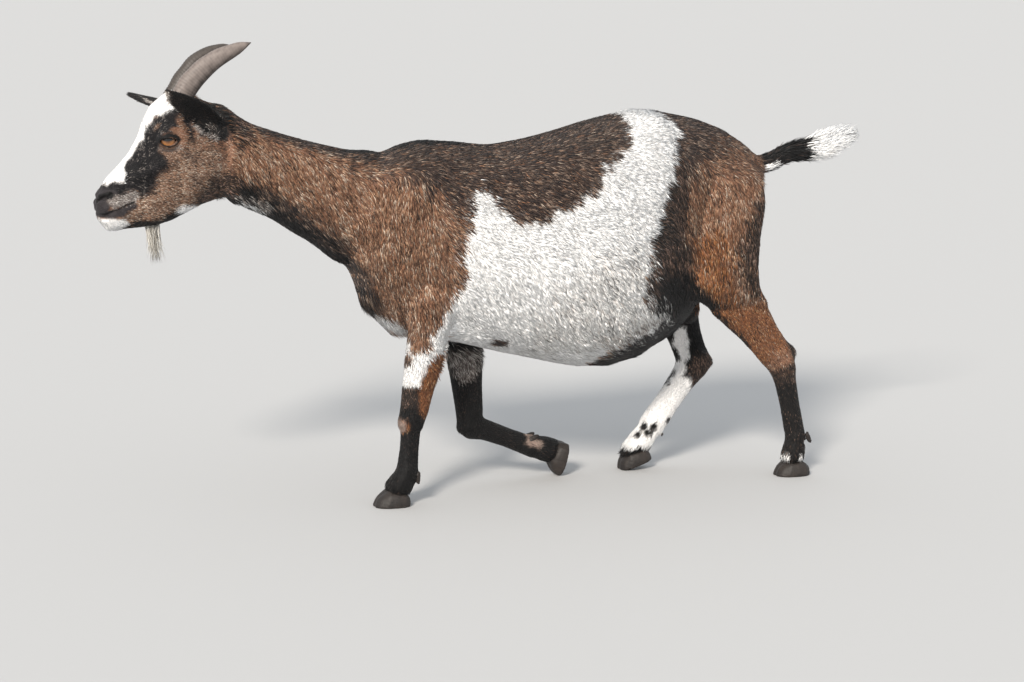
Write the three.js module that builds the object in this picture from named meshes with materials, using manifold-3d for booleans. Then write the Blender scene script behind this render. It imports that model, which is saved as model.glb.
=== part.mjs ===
// A life-size model of a walking doe: a small, deep-bellied goat with short swept-back horns.
//
// Millimetres, +Z up. The goat faces -X and its left side is -Y. It stands on the floor, z = 0, on the
// soles of both left feet and on the toe tips of the right ones. X is first counted from the left forefoot,
// and the finished group is moved so that its origin is the middle of its footprint on the floor.
//
// Flesh is lofted through sections. A body section is given by its highest and lowest point in profile and
// by its half width. A limb section is given by how far it stands before and behind the line of the bone.
// Where two parts meet, one keeps its whole shape and the other is cut back from it by a thin gap.
import * as THREE from "three";
import { mergeVertices } from "three/addons/utils/BufferGeometryUtils.js";
import Module from "manifold-3d";

const wasm = await Module();
wasm.setup();

// ---- driving dimensions --------------------------------------------------------------------------------

const GAP = 0.4; // clearance between neighbouring solids

const LEFT = -1;
const RIGHT = 1;

const FORE_TRACK = 65; // forefeet, from the midline
const HIND_TRACK = 70; // hind feet, from the midline
const ELBOW_TRACK = 78;
const HIP_TRACK = 66;
const STIFLE_TRACK = 90;

// The joints of each leg as [x, z], the x of its toe, and its heel's rise in degrees.
const LEFT_FORE = {
  elbow: [58, 320],
  knee: [32, 138],
  fetlock: [23, 54],
  coronet: [6, 32],
  toe: -34,
  heelRise: 0,
};
const RIGHT_FORE = {
  elbow: [158, 318],
  knee: [178, 102],
  fetlock: [286, 53],
  coronet: [318, 42],
  toe: 338,
  heelRise: 76,
};
const LEFT_HIND = {
  hip: [590, 486],
  stifle: [566, 332],
  hock: [692, 203],
  fetlock: [721, 66],
  coronet: [714, 34],
  toe: 682,
  heelRise: 0,
};
const RIGHT_HIND = {
  hip: [582, 486],
  stifle: [528, 336],
  hock: [594, 182],
  fetlock: [512, 75],
  coronet: [480, 38],
  toe: 452,
  heelRise: 19,
};

const HOOF = { length: 58, claw: 24, height: 27, cleft: 2.4, wallSlope: 0.42, toeDip: 1.6 };
const DEWCLAW = { length: 13, radius: 6, apart: 11, behind: 19, outward: 0.75, downward: 0.65 };

const EYE = { x: -361, z: 610, offMidline: 47, radius: 14.5 };
const HORN = { offMidline: 24, tipOffMidline: 35, depth: 36, width: 26 };
const LEFT_HORN = [
  [-338, 660],
  [-314, 698],
  [-281, 729],
  [-242, 750],
  [-220, 760],
]; // the horn's middle line as [x, z], from the root in the skull to the tip
const RIGHT_HORN = [
  [-338, 660],
  [-314, 698],
  [-288, 727],
  [-254, 743],
  [-231, 748],
];
const EAR = { halfWidth: 24, thickness: 4.5, cup: 14 };
const LEFT_EAR = { base: [-290, 50, 634], tip: [-376, 112, 690], opening: [-0.3, 0.85, -0.6] };
const RIGHT_EAR = { base: [-292, 50, 632], tip: [-386, 108, 668], opening: [-0.35, 0.45, -0.85] };
const UDDER = { at: [536, 0, 300], radii: [36, 42, 42] };

// Body sections: top x, top z, bottom x, bottom z, half width, height of the widest line, squareness.
const TRUNK = [
  [-44, 500, -52, 384, 50, 0.45, 2], // breast
  [-16, 555, -28, 326, 82, 0.46, 2.1], // point of the shoulder
  [24, 583, 16, 280, 99, 0.47, 2.1],
  [66, 593, 62, 260, 106, 0.47, 2.1], // withers
  [122, 589, 120, 255, 114, 0.46, 2.1], // heart girth
  [187, 580, 187, 238, 134, 0.44, 2.2],
  [252, 587, 252, 222, 153, 0.43, 2.3],
  [314, 600, 314, 207, 164, 0.42, 2.3], // last rib
  [372, 616, 372, 202, 167, 0.42, 2.3], // belly
  [424, 626, 424, 210, 158, 0.44, 2.3],
  [464, 631, 462, 226, 142, 0.48, 2.3], // hook bones
  [506, 623, 502, 244, 122, 0.52, 2.3], // flank
  [552, 613, 545, 286, 104, 0.56, 2.3],
  [598, 595, 584, 338, 92, 0.6, 2.3],
  [640, 569, 618, 400, 74, 0.62, 2.2],
  [670, 541, 646, 444, 48, 0.62, 2], // pin bones
];
const NECK = [
  [42, 574, -36, 366, 84, 0.46, 2],
  [-4, 582, -82, 398, 72, 0.47, 2],
  [-52, 581, -118, 428, 60, 0.48, 2],
  [-108, 595, -152, 449, 52, 0.48, 2],
  [-164, 612, -188, 472, 48, 0.48, 2],
  [-214, 630, -222, 488, 46, 0.47, 2],
  [-258, 658, -252, 502, 45, 0.46, 2],
  [-296, 670, -286, 524, 38, 0.46, 2],
];
const HEAD = [
  [-280, 656, -240, 548, 34, 0.5, 2], // nape
  [-302, 671, -250, 520, 46, 0.52, 2.1],
  [-326, 684, -270, 508, 52, 0.56, 2.2], // poll, over the angle of the jaw
  [-352, 680, -298, 500, 54, 0.6, 2.3],
  [-374, 662, -324, 488, 54, 0.62, 2.4], // brow
  [-388, 636, -350, 476, 49, 0.62, 2.3], // before the eye
  [-398, 609, -374, 470, 40, 0.58, 2.2],
  [-412, 586, -396, 468, 33, 0.54, 2.2],
  [-429, 567, -416, 467, 30, 0.52, 2.3], // bridge of the nose
  [-447, 549, -435, 466, 30, 0.52, 2.4],
  [-460, 533, -450, 468, 28, 0.52, 2.4], // nostrils
  [-467, 518, -460, 478, 22, 0.52, 2.3], // lips
];
const TAIL = [
  [660, 541, 664, 506, 17, 0.5, 2],
  [692, 545, 694, 515, 14, 0.5, 2],
  [722, 561, 728, 526, 15, 0.5, 2],
  [752, 571, 762, 525, 18, 0.5, 2],
  [784, 581, 792, 527, 20, 0.5, 2],
  [812, 586, 820, 537, 19, 0.5, 2], // the brush
  [838, 583, 842, 554, 13, 0.5, 2],
  [860, 576, 861, 567, 4, 0.5, 2],
];
const BEARD = [
  [-396, 478, -364, 478, 9, 0.5, 2],
  [-392, 462, -364, 462, 9, 0.5, 2],
  [-386, 444, -365, 444, 7, 0.5, 2],
  [-380, 426, -367, 427, 5, 0.5, 2],
  [-374, 406, -370, 407, 2.5, 0.5, 2],
];

const WHITE_SOCK_BULK = 1.2; // the right hind cannon's longer white hair

// Limb sections: share of the way down the bone, reach before its line, reach behind it, half width.
const FOREARM = [
  [-0.2, 30, 36, 20],
  [-0.05, 35, 42, 24],
  [0.2, 32, 37, 26],
  [0.5, 28, 34, 23],
  [0.75, 25, 29, 21],
  [0.9, 23, 26, 22],
  [1.04, 22, 20, 21],
];
const FORE_CANNON = [
  [-0.05, 19, 18, 18],
  [0.22, 17, 16.5, 16],
  [0.55, 16, 16.5, 14.5],
  [0.85, 17, 18, 17],
  [1.05, 16, 18, 18],
];
const FORE_CANNON_BENT = [
  [-0.1, 22, 16, 18],
  [0.04, 27, 17, 19],
  [0.28, 20, 16.5, 17],
  [0.6, 17, 16.5, 15],
  [0.88, 17, 18, 17],
  [1.05, 16, 18, 18],
]; // with the knee's front standing out below
const THIGH = [
  [-0.32, 50, 66, 26],
  [0.05, 66, 75, 38],
  [0.4, 64, 69, 41],
  [0.75, 56, 71, 39],
  [1, 48, 72, 34],
  [1.16, 34, 56, 24],
];
const SHANK = [
  [-0.15, 42, 48, 30],
  [0.05, 44, 60, 31],
  [0.28, 38, 55, 27],
  [0.52, 33, 45, 22],
  [0.72, 32, 33, 18],
  [0.88, 33, 28, 18],
  [1.05, 32, 28, 19],
];
const HIND_CANNON = [
  [-0.12, 29, 25, 18],
  [0.06, 28, 25, 18],
  [0.3, 21, 20, 17],
  [0.6, 18.5, 19, 16],
  [0.88, 19, 20, 18],
  [1.03, 18, 20, 18],
];
const HIND_CANNON_WHITE = HIND_CANNON.map(([share, before, behind, half]) => [
  share,
  before * WHITE_SOCK_BULK,
  behind * WHITE_SOCK_BULK,
  half * WHITE_SOCK_BULK,
]);
const PASTERN = [
  [-0.3, 16, 17, 18],
  [0.2, 17, 22, 20],
  [0.7, 18, 25, 22],
  [1.1, 18, 25, 24],
  [1.45, 13, 23, 24],
];

// ---- solids --------------------------------------------------------------------------------------------

/** The geometry with its faces turned outwards. */
function outward(geometry) {
  const at = geometry.attributes.position;
  const index = geometry.index.array;
  const [a, b, c] = [new THREE.Vector3(), new THREE.Vector3(), new THREE.Vector3()];
  let volume = 0;
  for (let i = 0; i < index.length; i += 3) {
    a.fromBufferAttribute(at, index[i]);
    b.fromBufferAttribute(at, index[i + 1]);
    c.fromBufferAttribute(at, index[i + 2]);
    volume += a.dot(b.cross(c));
  }
  if (volume < 0) geometry.setIndex([...index].reverse());
  return geometry;
}

/** Points and triangles as a closed geometry. */
function closed(points, index) {
  const geometry = new THREE.BufferGeometry();
  geometry.setAttribute("position", new THREE.Float32BufferAttribute(points.flatMap((p) => p.toArray()), 3));
  geometry.setIndex(index);
  return outward(geometry);
}

/** The geometry as a solid, standing out from its own surface by `swell`. */
function solidOf(geometry, swell = 0) {
  const bare = new THREE.BufferGeometry();
  bare.setAttribute("position", geometry.attributes.position.clone());
  bare.setIndex(geometry.index);
  const merged = mergeVertices(bare, 1e-4);
  merged.computeVertexNormals();
  const at = merged.attributes.position;
  const normal = merged.attributes.normal;
  const places = new Float32Array(at.count * 3);
  for (let i = 0; i < at.count; i++) {
    places[i * 3] = at.getX(i) + swell * normal.getX(i);
    places[i * 3 + 1] = at.getY(i) + swell * normal.getY(i);
    places[i * 3 + 2] = at.getZ(i) + swell * normal.getZ(i);
  }
  const triVerts = new Uint32Array(merged.index.array);
  return new wasm.Manifold(new wasm.Mesh({ numProp: 3, vertProperties: places, triVerts }));
}

/** The biggest piece of a geometry once the others are cut from it, with a gap all round them. */
function cutBack(geometry, others) {
  const rest = others.reduce((left, other) => left.subtract(solidOf(other, GAP)), solidOf(geometry));
  return rest.decompose().reduce((a, b) => (a.volume() > b.volume() ? a : b));
}

/** The part of a solid above the floor. */
function aboveFloor(solid) {
  return solid.trimByPlane([0, 0, 1], 0);
}

/** A mesh of a solid's shape. */
function meshOf(name, solid, material) {
  const { numProp, numVert, vertProperties, triVerts } = solid.getMesh();
  const places = new Float32Array(numVert * 3);
  for (let i = 0; i < numVert; i++) {
    places.set(vertProperties.subarray(i * numProp, i * numProp + 3), i * 3);
  }
  const geometry = new THREE.BufferGeometry();
  geometry.setAttribute("position", new THREE.BufferAttribute(places, 3));
  geometry.setIndex(new THREE.BufferAttribute(new Uint32Array(triVerts), 1));
  geometry.computeVertexNormals();
  const mesh = new THREE.Mesh(geometry, material.clone());
  mesh.name = name;
  return mesh;
}

/** A smooth curve through one point of every section. */
function through(sections, pointOf) {
  return new THREE.CatmullRomCurve3(sections.map(pointOf), false, "catmullrom", 0.5);
}

/**
 * A closed tube through sections. A section has a middle, its reach over and under that, its reach to the
 * side, and a squareness, where 2 is an ellipse. Reaches are vectors: `over` and `under` that point the same
 * way make a hollow leaf. The two ends are domed by `dome`.
 */
function loft(sections, { segments = 16, dome = [8, 8] } = {}) {
  const rings = sections.map(({ middle, over, under, side, square }) => {
    const ring = [];
    for (let k = 0; k < segments; k++) {
      const angle = (2 * Math.PI * k) / segments;
      const [c, s] = [Math.cos(angle), Math.sin(angle)];
      const point = middle.clone().addScaledVector(c >= 0 ? over : under, Math.abs(c) ** (2 / square));
      ring.push(point.addScaledVector(side, Math.sign(s) * Math.abs(s) ** (2 / square)));
    }
    return ring;
  });
  const line = through(sections, (section) => section.middle);
  const startCap = domeOf(rings[0], line.getTangent(0).negate(), dome[0]);
  const endCap = domeOf(rings.at(-1), line.getTangent(1), dome[1]);
  const all = [startCap.ring, ...rings, endCap.ring];
  const points = [startCap.pole, ...all.flat(), endCap.pole];
  const corner = (ring, k) => 1 + ring * segments + (k % segments);
  const index = [];
  for (let k = 0; k < segments; k++) {
    index.push(0, corner(0, k + 1), corner(0, k));
    index.push(points.length - 1, corner(all.length - 1, k), corner(all.length - 1, k + 1));
    for (let ring = 0; ring < all.length - 1; ring++) {
      index.push(corner(ring, k), corner(ring, k + 1), corner(ring + 1, k));
      index.push(corner(ring, k + 1), corner(ring + 1, k + 1), corner(ring + 1, k));
    }
  }
  return closed(points, index);
}

/** The smaller ring and the pole that dome the end of a tube. */
function domeOf(ring, outwards, height) {
  const centre = ring.reduce((sum, p) => sum.add(p), new THREE.Vector3()).divideScalar(ring.length);
  const smaller = ring.map((p) => p.clone().lerp(centre, 0.32).addScaledVector(outwards, height * 0.7));
  return { ring: smaller, pole: centre.addScaledVector(outwards, height) };
}

/** A joint of one side's leg as [x, y, z]. */
function joint([x, z], side, track) {
  return [x, side * track, z];
}

/** Loft sections from rows of body sections. */
function bodySections(rows) {
  return rows.map(([topX, topZ, bottomX, bottomZ, half, widest, square]) => {
    const top = new THREE.Vector3(topX, 0, topZ);
    const bottom = new THREE.Vector3(bottomX, 0, bottomZ);
    const middle = bottom.clone().lerp(top, widest);
    const side = new THREE.Vector3(0, half, 0);
    return { middle, over: top.sub(middle), under: bottom.sub(middle), side, square };
  });
}

/** A limb's geometry along the bone between two joints, each given as [x, y, z]. */
function limb(rows, from, to) {
  const start = new THREE.Vector3(...from);
  const stop = new THREE.Vector3(...to);
  const bone = new THREE.Vector3(to[0] - from[0], 0, to[2] - from[2]).normalize();
  const front = new THREE.Vector3(bone.z, 0, -bone.x);
  const sections = rows.map(([share, before, behind, half]) => ({
    middle: start.clone().lerp(stop, share),
    over: front.clone().multiplyScalar(before),
    under: front.clone().multiplyScalar(-behind),
    side: new THREE.Vector3(0, half, 0),
    square: 2.1,
  }));
  return loft(sections, { segments: 10, dome: [6, 6] });
}

/** An ellipsoid about a point. */
function ellipsoid(at, radii, detail = [12, 8]) {
  const geometry = new THREE.SphereGeometry(1, ...detail);
  geometry.scale(...radii);
  geometry.translate(...at);
  return geometry;
}

// ---- head ----------------------------------------------------------------------------------------------

/** An eyeball. */
function eye(side) {
  return ellipsoid([EYE.x, side * EYE.offMidline, EYE.z], [EYE.radius, EYE.radius, EYE.radius]);
}

/** A horn that rises from the poll and sweeps back over the neck, flattened from side to side. */
function horn(side, line) {
  const rise = through(line, ([x, z]) => new THREE.Vector3(x, 0, z));
  const sections = [0, 0.14, 0.28, 0.42, 0.56, 0.7, 0.82, 0.92, 1].map((share) => {
    const along = rise.getTangent(share);
    const taper = Math.sqrt(1 - share ** 2) * 0.9 + 0.1 - 0.12 * Math.sin(Math.PI * share);
    const middle = rise.getPoint(share);
    middle.y = side * THREE.MathUtils.lerp(HORN.offMidline, HORN.tipOffMidline, share);
    const over = new THREE.Vector3(-along.z, 0, along.x).multiplyScalar((HORN.depth / 2) * taper);
    return {
      middle,
      over,
      under: over.clone().negate(),
      side: new THREE.Vector3(0, (HORN.width / 2) * taper, 0),
      square: 2.2,
    };
  });
  return loft(sections, { segments: 10, dome: [2, 3] });
}

/** An ear: a leaf rolled into a cup, open outwards and a little down. */
function ear(side, { base, tip, opening: [ahead, out, up] }) {
  const start = new THREE.Vector3(base[0], side * base[1], base[2]);
  const stop = new THREE.Vector3(tip[0], side * tip[1], tip[2]);
  const along = stop.clone().sub(start).normalize();
  const opening = new THREE.Vector3(ahead, side * out, up);
  opening.addScaledVector(along, -opening.dot(along)).normalize();
  const width = along.clone().cross(opening);
  const rows = [
    [-0.12, 0.62, 1], // share of the length, of the half width and of the cup's depth
    [0.1, 0.86, 1],
    [0.32, 1, 0.85],
    [0.55, 0.94, 0.6],
    [0.78, 0.66, 0.42],
    [0.94, 0.32, 0.36],
    [1, 0.12, 0.34],
  ];
  const sections = rows.map(([share, wide, deep]) => ({
    middle: start.clone().lerp(stop, share),
    over: opening.clone().multiplyScalar(-EAR.cup * deep),
    under: opening.clone().multiplyScalar(-EAR.cup * deep + EAR.thickness),
    side: width.clone().multiplyScalar(EAR.halfWidth * wide),
    square: 2,
  }));
  return loft(sections, { segments: 12, dome: [1, 1] });
}

// ---- legs ----------------------------------------------------------------------------------------------

/** One claw of a hoof, flat on the floor with its toe at the origin and its heel towards +X. */
function clawGeometry(outer) {
  const { length, claw, height, cleft, wallSlope } = HOOF;
  const stations = [
    [0, 0.3, 0.5], // share of the length, of the claw's width and of its height
    [0.08, 0.62, 0.7],
    [0.28, 0.92, 1],
    [0.55, 1, 0.96],
    [0.82, 0.96, 0.84],
    [1, 0.66, 0.6],
  ];
  const section = [
    [0, 0],
    [1, 0],
    [1.02, 0.32],
    [0.92, 0.72],
    [0.6, 0.97],
    [0, 1],
  ]; // outwards and upwards, from the cleft round to its top
  const points = stations.flatMap(([share, wide, high]) =>
    section.map(([out, up]) => {
      const rise = up * high * height;
      const back = share * length + rise * wallSlope * (1 - share);
      return new THREE.Vector3(back, outer * (cleft / 2 + out * wide * claw), rise);
    }),
  );
  const round = section.length;
  const last = (stations.length - 1) * round;
  const index = [];
  for (let k = 1; k < round - 1; k++) {
    index.push(0, k + 1, k, last, last + k, last + k + 1);
  }
  for (let row = 0; row < last; row += round) {
    for (let k = 0; k < round; k++) {
      const next = (k + 1) % round;
      index.push(row + k, row + next, row + k + round, row + next, row + next + round, row + k + round);
    }
  }
  return closed(points, index);
}

/** The two claws of a leg's hoof, set on its toe with the heel raised. */
function claws({ toe, heelRise }, side, track) {
  return [LEFT, RIGHT].map((outer) => {
    const geometry = clawGeometry(outer);
    geometry.rotateY(-THREE.MathUtils.degToRad(heelRise));
    geometry.translate(toe, side * track, heelRise > 0 ? -HOOF.toeDip : 0);
    return geometry;
  });
}

/** The two small dewclaws behind a leg's fetlock. */
function dewclaws({ fetlock: [x, z], coronet }, side, track) {
  const down = new THREE.Vector3(coronet[0] - x, 0, coronet[1] - z).normalize();
  const behind = new THREE.Vector3(-down.z, 0, down.x);
  const axis = behind.clone().multiplyScalar(DEWCLAW.outward).addScaledVector(down, DEWCLAW.downward);
  const turn = new THREE.Quaternion().setFromUnitVectors(new THREE.Vector3(0, 1, 0), axis.normalize());
  return [LEFT, RIGHT].map((outer) => {
    const geometry = new THREE.ConeGeometry(DEWCLAW.radius, DEWCLAW.length * 2, 8);
    geometry.applyQuaternion(turn);
    geometry.translate(x, side * track + outer * DEWCLAW.apart, z);
    geometry.translate(behind.x * DEWCLAW.behind, 0, behind.z * DEWCLAW.behind);
    return geometry;
  });
}

/** A leg's cannon, pastern, claws and dewclaws, as named solids. The cannon hangs on the piece above it. */
function lowerLeg({ prefix, joints, side, track, cannonRows, top, above }) {
  const fetlock = joint(joints.fetlock, side, track);
  const cannon = limb(cannonRows, top, fetlock);
  const pastern = limb(PASTERN, fetlock, joint(joints.coronet, side, track));
  const hoof = claws(joints, side, track);
  const dew = dewclaws(joints, side, track);
  const places = side === LEFT ? ["outer", "inner"] : ["inner", "outer"];
  return [
    [`${prefix}_cannon`, cutBack(cannon, [above]), "sock"],
    [`${prefix}_pastern`, aboveFloor(cutBack(pastern, [cannon, ...hoof])), "sock"],
    ...hoof.map((claw, i) => [`${prefix}_claw_${places[i]}`, aboveFloor(solidOf(claw)), "hoof"]),
    ...dew.map((claw, i) => [`${prefix}_dewclaw_${places[i]}`, cutBack(claw, [pastern, cannon]), "hoof"]),
  ];
}

/** A foreleg as named solids, and the geometry that the trunk makes room for. */
function foreleg(prefix, joints, side, cannonRows) {
  const knee = joint(joints.knee, side, FORE_TRACK);
  const forearm = limb(FOREARM, joint(joints.elbow, side, ELBOW_TRACK), knee);
  const lower = { prefix, joints, side, track: FORE_TRACK, cannonRows, top: knee, above: forearm };
  return {
    solids: [[`${prefix}_forearm`, solidOf(forearm), "limb"], ...lowerLeg(lower)],
    inTrunk: [forearm],
  };
}

/** A hind leg as named solids, and the geometry that the trunk makes room for. */
function hindleg(prefix, joints, side, cannonRows) {
  const stifle = joint(joints.stifle, side, STIFLE_TRACK);
  const hock = joint(joints.hock, side, HIND_TRACK);
  const thigh = limb(THIGH, joint(joints.hip, side, HIP_TRACK), stifle);
  const shank = limb(SHANK, stifle, hock);
  const lower = { prefix, joints, side, track: HIND_TRACK, cannonRows, top: hock, above: shank };
  return {
    solids: [
      [`${prefix}_thigh`, solidOf(thigh), "limb"],
      [`${prefix}_shank`, cutBack(shank, [thigh]), "limb"],
      ...lowerLeg(lower),
    ],
    inTrunk: [thigh, shank],
  };
}

// ---- assembly ------------------------------------------------------------------------------------------

const trunk = loft(bodySections(TRUNK), { segments: 22, dome: [10, 9] });
const neck = loft(bodySections(NECK), { segments: 18, dome: [4, 8] });
const head = loft(bodySections(HEAD), { segments: 18, dome: [6, 5] });
const tail = loft(bodySections(TAIL), { segments: 10, dome: [2, 3] });
const beard = loft(bodySections(BEARD), { segments: 8, dome: [2, 2] });
const udder = ellipsoid(UDDER.at, UDDER.radii);
const eyes = [eye(LEFT), eye(RIGHT)];
const horns = [horn(LEFT, LEFT_HORN), horn(RIGHT, RIGHT_HORN)];
const ears = [ear(LEFT, LEFT_EAR), ear(RIGHT, RIGHT_EAR)];

const legs = [
  foreleg("foreleg_left", LEFT_FORE, LEFT, FORE_CANNON),
  foreleg("foreleg_right", RIGHT_FORE, RIGHT, FORE_CANNON_BENT),
  hindleg("hindleg_left", LEFT_HIND, LEFT, HIND_CANNON),
  hindleg("hindleg_right", RIGHT_HIND, RIGHT, HIND_CANNON_WHITE),
];
const legTops = legs.flatMap((leg) => leg.inTrunk);

const parts = [
  ["trunk", cutBack(trunk, legTops), "coat"],
  ["neck", cutBack(neck, [trunk, head]), "coat"],
  ["head", cutBack(head, [...eyes, ...horns]), "face"],
  ["tail", cutBack(tail, [trunk]), "tail"],
  ["beard", cutBack(beard, [head]), "beard"],
  ["udder", cutBack(udder, [trunk, ...legTops]), "udder"],
  ["eye_left", solidOf(eyes[0]), "eye"],
  ["eye_right", solidOf(eyes[1]), "eye"],
  ["horn_left", solidOf(horns[0]), "horn"],
  ["horn_right", solidOf(horns[1]), "horn"],
  ["ear_left", cutBack(ears[0], [head, neck]), "ear"],
  ["ear_right", cutBack(ears[1], [head, neck]), "ear"],
  ...legs.flatMap((leg) => leg.solids),
];

const materials = {
  coat: new THREE.MeshStandardMaterial({ color: "#5b4030", roughness: 0.9 }),
  face: new THREE.MeshStandardMaterial({ color: "#4a3428", roughness: 0.9 }),
  limb: new THREE.MeshStandardMaterial({ color: "#7a4a2a", roughness: 0.9 }),
  sock: new THREE.MeshStandardMaterial({ color: "#241c1b", roughness: 0.9 }),
  ear: new THREE.MeshStandardMaterial({ color: "#2b221f", roughness: 0.9 }),
  tail: new THREE.MeshStandardMaterial({ color: "#1f1a1a", roughness: 0.9 }),
  beard: new THREE.MeshStandardMaterial({ color: "#b8b2a0", roughness: 0.9 }),
  udder: new THREE.MeshStandardMaterial({ color: "#4a3a38", roughness: 0.7 }),
  horn: new THREE.MeshStandardMaterial({ color: "#8d7f78", roughness: 0.6 }),
  hoof: new THREE.MeshStandardMaterial({ color: "#4b4440", roughness: 0.6 }),
  eye: new THREE.MeshStandardMaterial({ color: "#a5702c", roughness: 0.15 }),
};

const goat = new THREE.Group();
for (const [name, solid, finish] of parts) goat.add(meshOf(name, solid, materials[finish]));

const reach = new THREE.Box3().setFromObject(goat);
goat.position.set(-(reach.min.x + reach.max.x) / 2, -(reach.min.y + reach.max.y) / 2, -reach.min.z);

const model = new THREE.Group();
model.add(goat);

export default model;
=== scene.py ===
"""A walking goat at life size: skin, coat, eyes, horns, hooves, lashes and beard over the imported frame."""

import logging
import math
from collections.abc import Iterable, Sequence
from dataclasses import dataclass, field
from enum import Enum

import bmesh
import bpy
import numpy as np
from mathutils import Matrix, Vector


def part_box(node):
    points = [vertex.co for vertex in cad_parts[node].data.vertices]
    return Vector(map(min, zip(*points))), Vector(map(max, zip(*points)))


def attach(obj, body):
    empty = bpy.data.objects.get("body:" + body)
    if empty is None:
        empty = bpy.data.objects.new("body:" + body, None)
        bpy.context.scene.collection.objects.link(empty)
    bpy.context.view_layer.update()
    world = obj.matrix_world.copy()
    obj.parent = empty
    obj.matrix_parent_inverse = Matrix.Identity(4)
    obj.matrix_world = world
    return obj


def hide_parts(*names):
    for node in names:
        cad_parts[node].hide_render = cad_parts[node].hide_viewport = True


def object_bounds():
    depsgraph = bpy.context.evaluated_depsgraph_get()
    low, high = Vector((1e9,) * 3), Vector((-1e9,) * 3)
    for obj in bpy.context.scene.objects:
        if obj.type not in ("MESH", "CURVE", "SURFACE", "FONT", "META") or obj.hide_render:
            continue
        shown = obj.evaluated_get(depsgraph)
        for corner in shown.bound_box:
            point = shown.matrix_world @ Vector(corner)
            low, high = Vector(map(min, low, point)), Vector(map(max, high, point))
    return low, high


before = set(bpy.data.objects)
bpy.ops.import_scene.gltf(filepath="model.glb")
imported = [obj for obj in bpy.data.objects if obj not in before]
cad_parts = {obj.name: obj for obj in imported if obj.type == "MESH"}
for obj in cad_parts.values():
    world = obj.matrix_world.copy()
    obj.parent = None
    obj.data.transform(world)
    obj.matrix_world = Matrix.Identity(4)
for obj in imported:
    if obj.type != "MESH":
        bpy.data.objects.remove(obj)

import openvdb
from mathutils import Matrix, Vector

LOG = logging.getLogger("goat")
CAD_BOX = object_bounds()
MM = 0.001
FOREFOOT_X = -0.19714  # the left forefoot, from which the drawing's millimetres run rearwards
SEED = 31
FAR = 1e9  # farther than anything in the scene
# where the groups of markings begin, in metres
HEAD_AHEAD = -0.415
LIMBS_BELOW = 0.31
TAIL_BEHIND = 0.468
EARS_ASIDE = 0.0555
EARS_ABOVE = 0.618
Point = tuple[float, float, float]
Outline = tuple[tuple[float, float], ...]


def site(x: float, y: float, z: float) -> np.ndarray:
    """Place a point of the drawing in the scene.

    Args:
        x: Millimetres rearwards of the left forefoot.
        y: Millimetres to the animal's right.
        z: Millimetres above the floor.

    Returns:
        The point in metres.
    """
    return np.array([x * MM + FOREFOOT_X, y * MM, z * MM])


def linear(colour: str) -> np.ndarray:
    """Turn an sRGB hex colour into linear red, green and blue."""
    part = np.array([int(colour[i : i + 2], 16) / 255 for i in (1, 3, 5)])
    return np.where(part <= 0.04045, part / 12.92, ((part + 0.055) / 1.055) ** 2.4)


def rgba(colour: str) -> tuple[float, float, float, float]:
    """Turn an sRGB hex colour into the four numbers of a colour socket."""
    red, green, blue = linear(colour)
    return (float(red), float(green), float(blue), 1.0)


def eased(value: np.ndarray, low: float, high: float) -> np.ndarray:
    """Rise smoothly from 0 at low to 1 at high."""
    share = np.clip((value - low) / (high - low), 0, 1)
    return share * share * (3 - 2 * share)


def merged(a: np.ndarray, b: np.ndarray, fillet: float) -> np.ndarray:
    """Join two distance fields with a fillet, in metres, where they meet."""
    share = np.clip(0.5 + 0.5 * (b - a) / fillet, 0, 1)
    return b + (a - b) * share - fillet * share * (1 - share)


def ripple(points: np.ndarray, wavelength: float, seed: int) -> np.ndarray:
    """Give each point a smooth random number.

    Args:
        points: Places in metres, one row each.
        wavelength: The usual distance in metres from crest to crest.
        seed: Which of the patterns.

    Returns:
        Numbers between about -1 and 1.
    """
    draw = np.random.default_rng(seed)
    total = np.zeros(len(points))
    for _ in range(7):
        way = draw.normal(size=3)
        way *= 2 * math.pi / (wavelength * draw.uniform(0.6, 1.7) * np.linalg.norm(way))
        total += np.sin(points @ way + draw.uniform(0, 2 * math.pi))
    return total / 3.2


def unit(vectors: np.ndarray) -> np.ndarray:
    """Give each row a length of one."""
    return vectors / np.maximum(np.linalg.norm(vectors, axis=-1, keepdims=True), 1e-12)


def from_segment(points: np.ndarray, start: np.ndarray, end: np.ndarray) -> np.ndarray:
    """Measure each point's distance from a straight line between two ends."""
    along = end - start
    share = np.clip((points - start) @ along / max(float(along @ along), 1e-12), 0, 1)
    return np.linalg.norm(points - start - share[:, None] * along, axis=1)


def mirror(point: Sequence[float], side: int) -> Point:
    """Put a point on the animal's left (-1) or right (1), from its distance off the midline."""
    return (point[0], side * abs(point[1]), point[2])


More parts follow.
